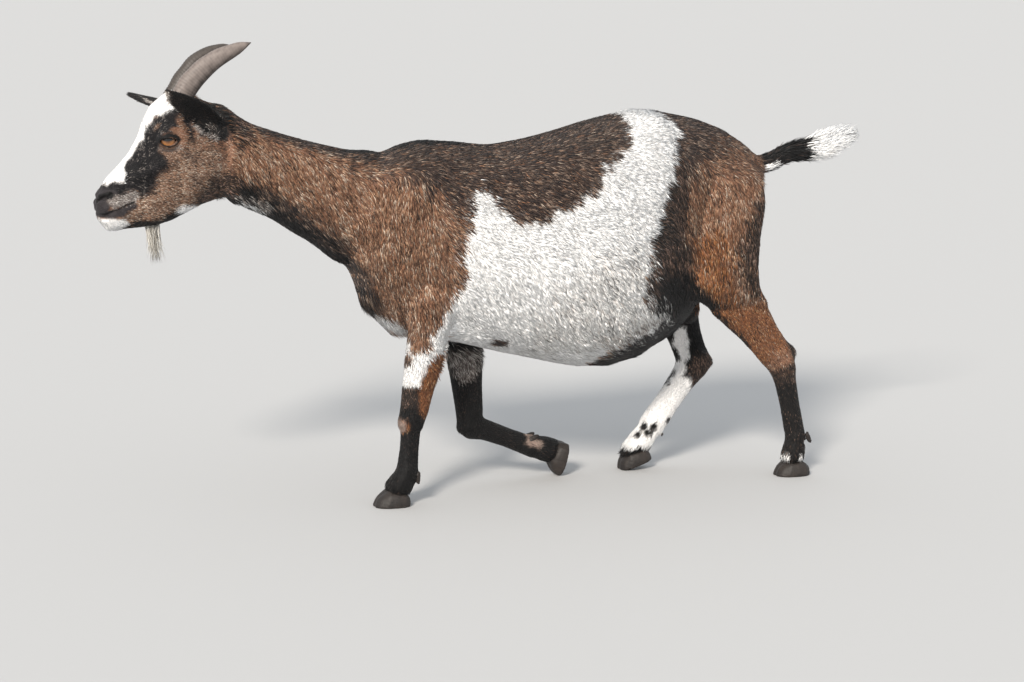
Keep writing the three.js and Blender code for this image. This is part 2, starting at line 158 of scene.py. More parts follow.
class Hair(Enum):
    """The kinds of hair in the coat, each with its shades, their shares and the skin beneath."""

    RUST = (
        (("#31241e", 0.12), ("#6f4f3e", 0.24), ("#9a6f54", 0.34), ("#b8957a", 0.22), ("#d3c0ad", 0.08)),
        "#745545",
    )
    FOX = (
        (("#2f1f17", 0.12), ("#643f28", 0.22), ("#925a35", 0.36), ("#b27c50", 0.24), ("#d0a880", 0.06)),
        "#68432d",
    )
    UMBER = ((("#252021", 0.34), ("#463832", 0.33), ("#6c584c", 0.21), ("#a08a7a", 0.12)), "#352b28")
    SABLE = ((("#1b1616", 0.38), ("#382c26", 0.30), ("#665143", 0.20), ("#93776a", 0.12)), "#231c19")
    BLACK = ((("#060607", 0.58), ("#0f0e10", 0.28), ("#2a2423", 0.10), ("#4d3f39", 0.04)), "#0a090a")
    TAN = ((("#211b19", 0.25), ("#6a5042", 0.24), ("#a5846d", 0.32), ("#dccab8", 0.19)), "#755d4e")
    MASK = ((("#0d0c0e", 0.62), ("#211d20", 0.22), ("#56504f", 0.09), ("#a39a94", 0.07)), "#110f12")
    GRIZZLE = ((("#554e4b", 0.20), ("#958b85", 0.36), ("#d0cac4", 0.44)), "#6d6460")
    WHITE = ((("#fdfdfd", 0.84), ("#f4f4f4", 0.14), ("#d3d0ce", 0.02)), "#f3f0ee")
    TICKED = ((("#f8f7f5", 0.72), ("#dedcda", 0.15), ("#a19b97", 0.08), ("#453c39", 0.05)), "#d3cdc9")
    # the bare nose pad: near-black skin, with a lighter grey share that is painted wet sheen
    NOSE_PAD_AND_SHEEN = ((("#2b2729", 0.6), ("#454043", 0.4)), "#2e2a2c")
    CALLUS = ((("#8b7870", 0.5), ("#a8978b", 0.5)), "#8f7b71")

    def shades(self) -> tuple[np.ndarray, np.ndarray]:
        """Give the kind's linear colours and the running total of their shares."""
        mixture = self.value[0]
        return np.array([linear(c) for c, _ in mixture]), np.cumsum([share for _, share in mixture])

    def skin(self) -> np.ndarray:
        """Give the linear colour of the skin under this hair."""
        return linear(self.value[1])


class Side(Enum):
    """The side of the animal that a marking or a form is on."""

    BOTH = 0
    LEFT = -1
    RIGHT = 1


@dataclass(frozen=True)
class Patch:
    """A marking bounded by an outline in side view, in the drawing's millimetres."""

    hair: Hair
    outline: Outline
    soft: float = 5.0
    ragged: float = 5.0
    side: Side = Side.BOTH
    strength: float = 1.0

    def cover(self, points: np.ndarray) -> np.ndarray:
        """Say how fully the marking covers each point.

        Args:
            points: Places in metres.

        Returns:
            Shares from 0 to 1.
        """
        flat = (points[:, [0, 2]] - np.array([FOREFOOT_X, 0])) / MM
        reach = np.full(len(flat), FAR)
        within = np.zeros(len(flat), bool)
        corners = np.array(self.outline)
        for a, b in zip(corners, np.roll(corners, -1, axis=0)):
            reach = np.minimum(reach, from_segment(flat, a, b))
            rises = (a[1] > flat[:, 1]) != (b[1] > flat[:, 1])
            height = b[1] - a[1] if b[1] != a[1] else 1e-9
            within ^= rises & (flat[:, 0] < (b[0] - a[0]) * (flat[:, 1] - a[1]) / height + a[0])
        signed = np.where(within, reach, -reach) + self.ragged * ripple(points, 0.022, len(corners))
        share = eased(signed, -self.soft, self.soft) * self.strength
        if self.side is not Side.BOTH:
            share = share * (points[:, 1] * self.side.value > 0)
        return share


def spot(hair: Hair, x: float, z: float, radius: float, side: Side) -> Patch:
    """Make a small round marking.

    Args:
        hair: The hair it is made of.
        x: Its middle, in the drawing's millimetres rearwards.
        z: Its middle's height.
        radius: Its radius in millimetres.
        side: The side of the animal.

    Returns:
        The marking.
    """
    turns = np.linspace(0, 2 * math.pi, 8, False)
    corners = [(x + radius * math.cos(a), z + radius * math.sin(a)) for a in turns]
    return Patch(hair, tuple(corners), soft=1.4, ragged=1.2, side=side)


@dataclass(frozen=True)
class Streak:
    """A marking that runs along a line on the body, in the drawing's millimetres."""

    hair: Hair
    path: tuple[Point, ...]
    width: float
    soft: float = 4.0
    side: Side = Side.BOTH
    strength: float = 1.0

    def cover(self, points: np.ndarray) -> np.ndarray:
        """Say how fully the marking covers each point.

        Args:
            points: Places in metres.

        Returns:
            Shares from 0 to 1.
        """
        folded = points.copy()
        folded[:, 1] = np.abs(folded[:, 1])
        ends = list(zip(self.path, self.path[1:])) or [(self.path[0], self.path[0])]
        reach = np.full(len(points), FAR)
        for a, b in ends:
            start, end = site(*mirror(a, 1)), site(*mirror(b, 1))
            reach = np.minimum(reach, from_segment(folded, start, end) / MM)
        reach = reach + 0.18 * self.width * ripple(points, 0.015, len(self.path))
        share = (1 - eased(reach, self.width - self.soft, self.width + self.soft)) * self.strength
        if self.side is not Side.BOTH:
            share = share * (points[:, 1] * self.side.value > 0)
        return share


@dataclass(frozen=True)
class Markings:
    """The pattern that the skin and the coat share, laid down in order over rust-brown."""

    body: tuple[Patch | Streak, ...] = (
        # the dark back and rump, and the darker front of the neck
        Patch(
            Hair.UMBER,
            ((-110, 700), (-100, 592), (-62, 566), (-20, 548), (40, 528), (82, 500), (112, 452), (122, 400),
             (250, 380), (420, 440), (500, 520), (560, 572), (620, 590), (620, 700)),
            soft=22, ragged=10, strength=0.92,
        ),
        Patch(
            Hair.UMBER,
            ((480, 660), (472, 560), (500, 525), (560, 545), (640, 538), (700, 540), (700, 660)),
            soft=26, strength=0.28,
        ),
        Patch(
            Hair.FOX,
            ((508, 420), (560, 440), (590, 400), (570, 340), (640, 290), (620, 262), (540, 296), (508, 330)),
            soft=16, side=Side.LEFT, strength=0.75,
        ),
        Patch(
            Hair.TAN,
            ((572, 410), (612, 420), (618, 340), (640, 300), (600, 300), (577, 350)),
            soft=16, strength=0.45,
        ),
        Patch(
            Hair.UMBER,
            ((-262, 550), (-207, 533), (-143, 494), (-76, 438), (-34, 380), (-14, 318), (-60, 300),
             (-300, 480)),
            soft=12, ragged=6,
        ),
        Patch(
            Hair.BLACK,
            ((-262, 532), (-207, 513), (-143, 472), (-76, 417), (-42, 358), (-18, 300), (-90, 300),
             (-300, 460)),
            soft=9, ragged=6,
        ),
        Streak(Hair.UMBER, ((-240, 0, 640), (-160, 0, 606), (-70, 0, 578)), 26, 12),
        Streak(
            Hair.SABLE,
            ((-240, 0, 652), (-160, 0, 616), (-70, 0, 588), (60, 0, 596), (190, 0, 586), (300, 0, 600),
             (400, 0, 626)),
            24, 9,
        ),
        Streak(Hair.BLACK, ((-60, 0, 590), (60, 0, 600), (120, 0, 596)), 24, 10),
        Streak(Hair.SABLE, ((470, 0, 640), (600, 0, 600), (690, 0, 540)), 20, 9),
        # black behind the white, through the groin and down the front of the gaskin; under the belly and
        # inside the thighs it is black hair with painted shade
        Patch(
            Hair.SABLE,
            ((400, 520), (478, 560), (500, 500), (492, 451), (500, 409), (512, 362), (552, 306), (560, 240),
             (440, 200), (380, 240), (400, 400)),
            soft=12, ragged=8,
        ),
        # partly painted shade: black under the belly and inside the thighs
        Patch(Hair.BLACK, ((440, 380), (500, 372), (530, 326), (590, 300), (560, 180), (330, 180), (330, 230),
                           (400, 280)), soft=8, ragged=6),
        Patch(Hair.BLACK, ((535, 336), (618, 346), (622, 288), (535, 288)), soft=7, side=Side.RIGHT),
        Patch(
            Hair.SABLE,
            ((692, 548), (662, 512), (628, 474), (600, 446), (586, 402), (594, 352), (624, 322), (720, 320),
             (760, 520)),
            soft=13, ragged=6, strength=0.88,
        ),
        # white: the saddle that crosses the loin and opens over the belly
        Patch(
            Hair.WHITE,
            ((134, 522), (159, 503), (173, 476), (210, 462), (245, 474), (282, 488), (326, 515), (338, 544),
             (369, 560), (396, 582), (404, 602), (409, 625), (410, 690), (458, 690), (474, 624), (497, 594),
             (473, 573), (461, 536), (437, 487), (418, 447), (408, 421), (400, 380), (396, 342), (408, 318),
             (455, 300), (407, 273), (349, 253), (310, 190), (120, 190), (98, 268), (62, 262), (56, 284),
             (66, 304), (76, 322), (94, 347), (106, 384), (109, 429), (120, 478)),
            soft=3.5, ragged=6,
        ),
        Patch(
            Hair.TICKED,
            ((215, 300), (300, 390), (380, 420), (402, 400), (398, 340), (452, 298), (349, 253), (215, 232)),
            soft=30, ragged=12, strength=0.8,
        ),
        # painted shade: grey over the white where the belly's lower rear turns under, with some grey speckle
        Patch(
            Hair.GRIZZLE,
            ((330, 268), (385, 286), (440, 302), (407, 274), (349, 252)),
            soft=8, ragged=5, strength=0.6,
        ),
        Patch(
            Hair.UMBER,
            ((160, 268), (172, 275), (186, 271), (186, 257), (168, 255)),
            soft=2, ragged=2, side=Side.LEFT,
        ),
        Streak(Hair.WHITE, ((-240, 20, 494), (-216, 22, 484)), 13, 6),
        Streak(Hair.GRIZZLE, ((-226, 24, 508), (-206, 26, 500)), 9, 6, strength=0.7),
        Streak(Hair.WHITE, ((-12, 12, 306), (8, 34, 296)), 17, 6),
        Streak(Hair.WHITE, ((14, 40, 284), (22, 70, 266)), 12, 5),
    )
    limbs: tuple[Patch | Streak, ...] = (
        # left foreleg: white elbow band, brown rear, black front, knee and foot
        Patch(Hair.UMBER, ((0, 250), (110, 250), (110, 130), (0, 130)), soft=12),
        Patch(Hair.FOX, ((50, 264), (92, 264), (84, 200), (70, 148), (42, 144), (36, 176), (36, 206)), soft=5,
              side=Side.LEFT),
        Patch(
            Hair.SABLE,
            ((-20, 264), (15, 264), (14, 204), (30, 200), (38, 176), (32, 146), (-20, 146)),
            soft=4, side=Side.LEFT,
        ),
        Patch(
            Hair.BLACK,
            ((-80, 160), (30, 164), (46, 148), (110, 142), (110, -20), (-80, -20)),
            soft=7, ragged=5,
        ),
        Patch(
            Hair.WHITE,
            ((110, 312), (86, 312), (66, 300), (57, 284), (56, 264), (40, 261), (27, 257), (25, 241),
             (8, 224), (6, 203), (17, 202), (38, 200), (44, 222), (49, 241), (62, 250), (76, 255),
             (92, 272), (116, 290)),
            soft=3, ragged=3, side=Side.LEFT,
        ),
        spot(Hair.FOX, 13, 133, 12, Side.LEFT),
        Patch(
            Hair.CALLUS,
            ((2, 144), (10, 147), (17, 142), (19, 126), (12, 120), (4, 124)),
            soft=2, ragged=1.5, side=Side.LEFT,
        ),
        spot(Hair.WHITE, -20, 21, 4, Side.LEFT),
        # right foreleg: black outside, grey inner face, whose greyish-white hair is darkened with painted
        # shade
        Patch(
            Hair.BLACK,
            ((128, 256), (202, 256), (360, 60), (300, -10), (120, 60)),
            soft=6, side=Side.RIGHT,
        ),
        # painted shade: the inner face's greyish-white hair greyed
        Patch(Hair.GRIZZLE, ((140, 232), (188, 234), (192, 204), (182, 180), (160, 174), (146, 194)), soft=10,
              side=Side.RIGHT, strength=0.75),
        Patch(
            Hair.CALLUS,
            ((276, 76), (290, 72), (302, 60), (296, 52), (282, 60), (274, 68)),
            soft=3, side=Side.RIGHT,
        ),
        # left hind leg: rust gaskin, black front edge, hock and cannon
        Patch(Hair.FOX, ((600, 320), (640, 320), (700, 234), (640, 190), (600, 230), (540, 300)), soft=14,
              side=Side.LEFT, strength=0.85),
        Patch(Hair.BLACK, ((505, 324), (545, 305), (588, 268), (620, 236), (640, 206), (634, 180), (600, 200),
                           (560, 240), (500, 250)), soft=6, ragged=5, side=Side.LEFT),
        Streak(Hair.SABLE, ((706, 76, 246), (716, 74, 212), (722, 70, 190)), 16, 5, side=Side.LEFT),
        Patch(
            Hair.SABLE,
            ((630, 192), (700, 184), (722, 244), (790, 244), (790, -20), (630, -20)),
            soft=6, ragged=5, side=Side.LEFT,
        ),
        Patch(
            Hair.BLACK,
            ((630, 160), (790, 172), (790, -20), (630, -20)),
            soft=10, side=Side.LEFT, strength=0.85,
        ),
        spot(Hair.WHITE, 697, 34, 5, Side.LEFT),
        spot(Hair.WHITE, 724, 34, 4, Side.LEFT),
        # right hind leg: black with a white inner stripe, white cannon with black spots
        Patch(
            Hair.BLACK,
            ((440, 340), (650, 340), (700, 120), (560, -30), (420, -30)),
            soft=6, side=Side.RIGHT,
        ),
        Patch(Hair.SABLE, ((575, 190), (620, 200), (620, 130), (585, 130)), soft=5, side=Side.RIGHT),
        Patch(
            Hair.WHITE,
            ((551, 244), (570, 244), (576, 214), (570, 190), (566, 162), (580, 150), (584, 138), (530, 136),
             (544, 150), (556, 176), (560, 192), (552, 212)),
            soft=3, ragged=3, side=Side.RIGHT,
        ),
        Patch(
            Hair.WHITE,
            ((490, 122), (518, 136), (560, 148), (580, 142), (604, 110), (560, 36), (450, 36), (440, 60)),
            soft=4, ragged=3, side=Side.RIGHT,
        ),
        Streak(Hair.BLACK, ((492, 58, 77),), 7.6, 1.5, side=Side.RIGHT),
        Streak(Hair.BLACK, ((500, 50, 66),), 7.6, 1.5, side=Side.RIGHT),
        Streak(Hair.BLACK, ((509, 50, 75),), 7.2, 1.5, side=Side.RIGHT),
        Streak(Hair.BLACK, ((483, 58, 63),), 6.6, 1.5, side=Side.RIGHT),
        Streak(Hair.BLACK, ((541, 50, 83),), 9.1, 1.5, side=Side.RIGHT),
        Patch(
            Hair.BLACK,
            ((430, 42), (500, 40), (540, 34), (540, -10), (430, -10)),
            soft=4, ragged=3, side=Side.RIGHT,
        ),
    )
    tail: tuple[Patch | Streak, ...] = (
        Patch(Hair.BLACK, ((676, 620), (676, 500), (700, 480), (960, 480), (960, 640)), soft=6),
        Patch(Hair.WHITE, ((754, 640), (746, 480), (900, 480), (900, 640)), soft=4, ragged=5),
        Streak(Hair.WHITE, ((680, 14, 519), (696, 12, 518)), 7, 3),
    )
    ears: tuple[Patch | Streak, ...] = (
        Streak(Hair.BLACK, ((-290, 50, 634), (-381, 110, 679)), 40, 3),
        Streak(
            Hair.GRIZZLE,
            ((-313, 45, 630), (-334, 56, 641), (-353, 71, 655), (-368, 89, 670), (-374, 108, 687)),
            3.6, 2,
        ),
        Streak(Hair.GRIZZLE, ((-336, 88, 654), (-310, 70, 636), (-286, 54, 618)), 9, 3, strength=0.8),
    )
    head: tuple[Patch | Streak, ...] = (
        Patch(
            Hair.TAN,
            ((-440, 470), (-300, 480), (-262, 540), (-290, 610), (-372, 600), (-425, 530)),
            soft=16, strength=0.8,
        ),
        # painted shade: umber streaks in the cheek's groove and along the front of the jaw muscle
        Streak(Hair.UMBER, ((-338, 54, 590), (-316, 54, 576)), 6, 5, strength=0.55),
        Streak(Hair.UMBER, ((-324, 53, 552), (-304, 50, 530)), 6, 5, strength=0.6),
        Patch(
            Hair.SABLE,
            ((-300, 542), (-262, 554), (-240, 550), (-205, 528), (-205, 470), (-285, 470), (-314, 514)),
            soft=9, strength=0.9,
        ),
        Patch(
            Hair.BLACK,
            ((-268, 520), (-240, 536), (-205, 512), (-205, 460), (-260, 470)),
            soft=8, ragged=5,
        ),
        Streak(Hair.WHITE, ((-240, 20, 494), (-216, 22, 484)), 13, 6),
        Streak(Hair.GRIZZLE, ((-250, 26, 512), (-232, 28, 512)), 8, 5, strength=0.6),
        Patch(
            Hair.BLACK,
            ((-440, 470), (-405, 479), (-372, 484), (-340, 497), (-300, 508), (-300, 460), (-440, 450)),
            soft=6,
        ),
        Patch(
            Hair.SABLE,
            ((-320, 700), (-306, 652), (-262, 640), (-248, 600), (-238, 598), (-200, 640), (-240, 690)),
            soft=7, strength=0.8,
        ),
        Patch(
            Hair.BLACK,
            ((-322, 672), (-328, 642), (-319, 630), (-303, 614), (-284, 607), (-266, 605), (-258, 620),
             (-262, 642), (-282, 664)),
            soft=3, ragged=3,
        ),
        Streak(Hair.GRIZZLE, ((-334, 52, 643), (-319, 50, 630), (-303, 48, 615), (-284, 47, 609)), 3.4, 2),
        Streak(Hair.GRIZZLE, ((-284, 42, 652), (-262, 44, 630)), 2.6, 2, strength=0.7),
        Streak(Hair.GRIZZLE, ((-290, 47, 628), (-270, 46, 618)), 7, 4, strength=0.14),
        Patch(
            Hair.MASK,
            ((-386, 640), (-374, 622), (-371, 610), (-366, 590), (-364, 570), (-376, 550), (-384, 528),
             (-402, 524), (-420, 528), (-470, 530), (-470, 560), (-440, 620)),
            soft=6,
        ),
        Patch(
            Hair.MASK,
            ((-386, 636), (-372, 652), (-350, 660), (-330, 662), (-322, 640), (-334, 626), (-360, 622),
             (-376, 618)),
            soft=5,
        ),
        Patch(Hair.MASK, ((-500, 548), (-440, 548), (-424, 532), (-432, 512), (-500, 500)), soft=3),
        Streak(Hair.TAN, ((-384, 42, 627), (-378, 44, 636)), 5, 3, strength=0.85),
        Streak(Hair.RUST, ((-344, 52, 650), (-338, 53, 626)), 6, 3, strength=0.85),
        # painted highlight: a grey streak on the upper lid where the light falls on it
        Streak(Hair.GRIZZLE, ((-371, 51, 620), (-358, 53, 622)), 2.6, 2, strength=0.6),
        Streak(Hair.BLACK, ((-327, 53, 640), (-325, 53, 607)), 4.5, 2.5),
        Streak(Hair.GRIZZLE, ((-380, 48, 597), (-364, 52, 593), (-346, 53, 598)), 3.4, 3, strength=0.7),
        # the upper lid's dark rim, widened with painted shade of the lid and lashes over the eye
        Streak(
            Hair.BLACK,
            ((-377, 53, 608), (-369, 60, 615), (-361, 61, 618), (-353, 60, 616), (-345, 54, 611)),
            4, 1.5,
        ),
        Streak(
            Hair.BLACK,
            ((-377, 53, 608), (-369, 60, 602), (-361, 61, 600), (-353, 60, 602), (-345, 54, 610)),
            1.8, 1,
        ),
        Patch(
            Hair.WHITE,
            ((-320, 700), (-346, 668), (-350, 656), (-364, 650), (-376, 644), (-382, 637), (-389, 625),
             (-394, 614), (-405, 597), (-418, 579), (-420, 574), (-424, 562), (-427, 549), (-428, 538),
             (-446, 536), (-456, 536), (-500, 540), (-500, 700)),
            soft=2.2, ragged=2.5,
        ),
        Streak(
            Hair.WHITE,
            ((-368, 0, 656), (-388, 0, 625), (-402, 0, 600), (-420, 0, 572), (-434, 0, 556)),
            12.5, 2.5,
        ),
        Streak(Hair.MASK, ((-446, 22, 538), (-420, 31, 535)), 7, 3),
        # the nose pad, near-black and lightened with painted wet sheen
        Patch(
            Hair.NOSE_PAD_AND_SHEEN,
            ((-500, 531), (-452, 533), (-442, 528), (-439, 516), (-450, 512), (-455, 500), (-436, 504),
             (-412, 512), (-408, 505), (-430, 490), (-500, 486)),
            soft=2, ragged=1.5,
        ),
        Patch(Hair.GRIZZLE, ((-454, 514), (-438, 524), (-415, 532), (-408, 526), (-413, 513), (-428, 505),
                             (-449, 501)), soft=3, ragged=2.5),
        Streak(Hair.GRIZZLE, ((-452, 16, 487), (-428, 26, 490)), 2.6, 2, strength=0.5),
        Patch(
            Hair.WHITE,
            ((-500, 483), (-452, 486), (-428, 485), (-424, 476), (-440, 460), (-500, 450)),
            soft=2.5, ragged=2,
        ),
        Streak(Hair.WHITE, ((-337, 30, 495), (-324, 24, 494)), 9, 4),
        # black along the mouth: the dark lip edge, with painted shade in the crease between the lips
        Streak(
            Hair.BLACK,
            ((-471, 0, 491), (-465, 15, 492), (-455, 27, 494), (-439, 30, 500), (-427, 31, 506),
             (-414, 31, 511)),
            2.6, 1,
        ),
        # painted shade: black in the nostril's opening
        Streak(Hair.BLACK, ((-470, 8, 515), (-462, 17, 521), (-451, 27, 525)), 5.2, 1.2),
    )

    def shares(self, points: np.ndarray) -> np.ndarray:
        """Work out how much of each kind of hair grows at each point.

        Args:
            points: Places on the skin, in metres.

        Returns:
            One row for each point, one column for each kind, adding up to 1.
        """
        kinds = list(Hair)
        share = np.zeros((len(points), len(kinds)))
        share[:, kinds.index(Hair.RUST)] = 1
        low = points[:, 2] < LIMBS_BELOW
        ahead = points[:, 0] < HEAD_AHEAD
        behind = points[:, 0] > TAIL_BEHIND
        aside = ahead & (np.abs(points[:, 1]) > EARS_ASIDE) & (points[:, 2] > EARS_ABOVE)
        groups = (self.body, self.limbs, self.head, self.tail, self.ears)
        for group, where in zip(groups, (~ahead, low, ahead, behind, aside)):
            index = np.flatnonzero(where)
            for mark in group:
                cover = mark.cover(points[index])[:, None]
                share[index] *= 1 - cover
                share[index, kinds.index(mark.hair)] += cover[:, 0]
        return share

    def skin(self, points: np.ndarray) -> np.ndarray:
        """Give the skin's linear colour at each point."""
        return self.shares(points) @ np.array([kind.skin() for kind in Hair])

    def locks(self, points: np.ndarray, draw: np.random.Generator) -> np.ndarray:
        """Draw one hair colour for each tuft.

        Args:
            points: The tufts' roots, in metres.
            draw: The source of random numbers.

        Returns:
            Linear colours, one row for each tuft.
        """
        share = np.cumsum(self.shares(points), axis=1)
        kind = (draw.random(len(points))[:, None] * share[:, -1:] > share).sum(axis=1)
        pick = np.clip(draw.random(len(points)) + 0.10 * ripple(points, 0.03, 5), 0, 0.999)
        colour = np.zeros((len(points), 3))
        for index, hair in enumerate(Hair):
            shades, total = hair.shades()
            chosen = np.flatnonzero(kind == index)
            colour[chosen] = shades[np.minimum(np.searchsorted(total, pick[chosen]), len(shades) - 1)]
        return colour * draw.uniform(0.86, 1.12, (len(points), 1))


@dataclass
class Field:
    """Distances from a surface on a regular grid, in metres, negative inside."""

    start: np.ndarray  # whole voxels from the scene's origin
    voxel: float
    values: np.ndarray

    @classmethod
    def of_nodes(
        cls, names: Iterable[str], low: np.ndarray, high: np.ndarray, voxel: float, reach: int,
        fillet: float = 0.0005,
    ) -> "Field":
        """Measure the distance to the nearest of some CAD nodes.

        Args:
            names: The nodes.
            low: The grid's lowest corner, in metres.
            high: Its highest corner.
            voxel: The grid's pitch.
            reach: How many voxels from the surface the distances are true.
            fillet: How softly neighbouring nodes run together, in metres.

        Returns:
            The field.
        """
        start = np.floor(low / voxel).astype(int)
        size = np.ceil(high / voxel).astype(int) - start
        values = np.full(size, reach * voxel, np.float32)
        for name in names:
            points, triangles = shell_of(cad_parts[name])
            scale = openvdb.createLinearTransform(voxelSize=voxel)
            grid = openvdb.FloatGrid.createLevelSetFromPolygons(
                points, triangles=triangles, transform=scale, halfWidth=reach
            )
            block = np.empty(size, np.float32)
            grid.copyToArray(block, ijk=tuple(int(i) for i in start))
            values = merged(values, block, fillet).astype(np.float32)
        return cls(start, voxel, values)

    def axes(self) -> tuple[np.ndarray, np.ndarray, np.ndarray]:
        """Give the grid's x, y and z, each ready to broadcast."""
        spans = zip(self.values.shape, self.start)
        line = [((np.arange(n) + s) * self.voxel).astype(np.float32) for n, s in spans]
        return line[0][:, None, None], line[1][None, :, None], line[2][None, None, :]

    def blurred(self, radius: float) -> np.ndarray:
        """Smooth the distances over a radius in metres."""
        sigma = radius / self.voxel
        count = max(1, int(2.4 * sigma))
        weights = np.exp(-0.5 * (np.arange(-count, count + 1) / sigma) ** 2)
        weights = (weights / weights.sum()).astype(np.float32)
        result = self.values
        for axis in range(3):
            source, result = result, np.zeros_like(result)
            for shift, weight in zip(range(-count, count + 1), weights):
                result += weight * np.roll(source, shift, axis=axis)
        return result

    def swell(self, start: np.ndarray, end: np.ndarray, width: float, lift: float) -> None:
        """Raise the surface softly along a line, or press it in.

        Args:
            start: One end, in metres.
            end: The other end.
            width: How far the form spreads, in millimetres.
            lift: Its height, in millimetres, negative for a hollow.
        """
        ends = np.array([start, end])
        margin = 2.5 * width * MM
        low = np.floor((ends.min(axis=0) - margin) / self.voxel).astype(int) - self.start
        high = np.ceil((ends.max(axis=0) + margin) / self.voxel).astype(int) - self.start
        low, high = np.clip(low, 0, self.values.shape), np.clip(high, 0, self.values.shape)
        if (high <= low).any():
            return
        axes = [(np.arange(a, b) + s) * self.voxel for a, b, s in zip(low, high, self.start)]
        grid = np.stack(np.meshgrid(*axes, indexing="ij"), axis=-1).reshape(-1, 3)
        reach = from_segment(grid, ends[0], ends[1]).reshape(high - low)
        box = tuple(slice(a, b) for a, b in zip(low, high))
        self.values[box] -= (lift * MM * np.exp(-((reach / (width * MM)) ** 2))).astype(np.float32)

    def settled(self, place: np.ndarray, sink: float) -> np.ndarray:
        """Bring a point near the surface onto it, along the slope of the distances.

        Args:
            place: The point, in metres.
            sink: How far under the surface it ends.

        Returns:
            The point on the surface or under it.
        """
        steps = np.eye(3) * self.voxel
        for _ in range(6):
            value = self.sample(place[None])[0]
            slope = (self.sample(place + steps) - self.sample(place - steps)) / (2 * self.voxel)
            place = place - value * slope / max(float(slope @ slope), 0.2)
        return place - sink * unit(slope)

    def sample(self, points: np.ndarray) -> np.ndarray:
        """Read the distance at each point."""
        place = points / self.voxel - self.start
        base = np.clip(np.floor(place).astype(int), 0, np.array(self.values.shape) - 2)
        part = np.clip(place - base, 0, 1)
        total = np.zeros(len(points))
        for corner in np.ndindex(2, 2, 2):
            weight = np.prod(np.where(corner, part, 1 - part), axis=1)
            total += weight * self.values[tuple((base + corner).T)]
        return total

    def surface(self, adaptivity: float) -> tuple[np.ndarray, list[list[int]]]:
        """Draw the zero surface.

        Args:
            adaptivity: How freely flat areas are thinned out, from 0 to 1.

        Returns:
            The points and the faces.
        """
        grid = openvdb.FloatGrid(float(self.values.max()))
        grid.copyFromArray(self.values, ijk=tuple(int(i) for i in self.start))
        grid.transform = openvdb.createLinearTransform(voxelSize=self.voxel)
        points, triangles, quads = grid.convertToPolygons(0.0, adaptivity)
        return points, [row[::-1] for row in triangles.tolist()] + [row[::-1] for row in quads.tolist()]


def shell_of(node: bpy.types.Object) -> tuple[np.ndarray, np.ndarray]:
    """Read a CAD node's mesh with its loose corners merged.

    Args:
        node: The node's object.

    Returns:
        Its points and its triangles.
    """
    mesh = node.data
    mesh.calc_loop_triangles()
    points = np.empty(len(mesh.vertices) * 3)
    mesh.vertices.foreach_get("co", points)
    corners = np.empty(len(mesh.loop_triangles) * 3, np.int64)
    mesh.loop_triangles.foreach_get("vertices", corners)
    merged_points, index = np.unique(np.round(points.reshape(-1, 3), 6), axis=0, return_inverse=True)
    return merged_points.astype(np.float32), index.reshape(-1)[corners].reshape(-1, 3).astype(np.uint32)


@dataclass(frozen=True)
class Form:
    """A muscle, bone or fold: a soft rise or hollow along a line, in the drawing's millimetres."""

    name: str
    start: Point
    end: Point
    width: float
    lift: float
    side: Side = Side.BOTH
    sink: float = 0.0

    def press(self, grid: Field, settle: bool = False) -> None:
        """Work the form into a field, once on the midline and else on its side or on both.

        Args:
            grid: The field.
            settle: Whether the line's ends are first brought onto the surface.
        """
        sides = (-1, 1) if self.side is Side.BOTH else (self.side.value,)
        for side in sides if self.start[1] or self.end[1] else (1,):
            ends = [site(*mirror(point, side)) for point in (self.start, self.end)]
            if settle:
                ends = [grid.settled(end, self.sink * MM) for end in ends]
            grid.swell(ends[0], ends[1], self.width, self.lift)


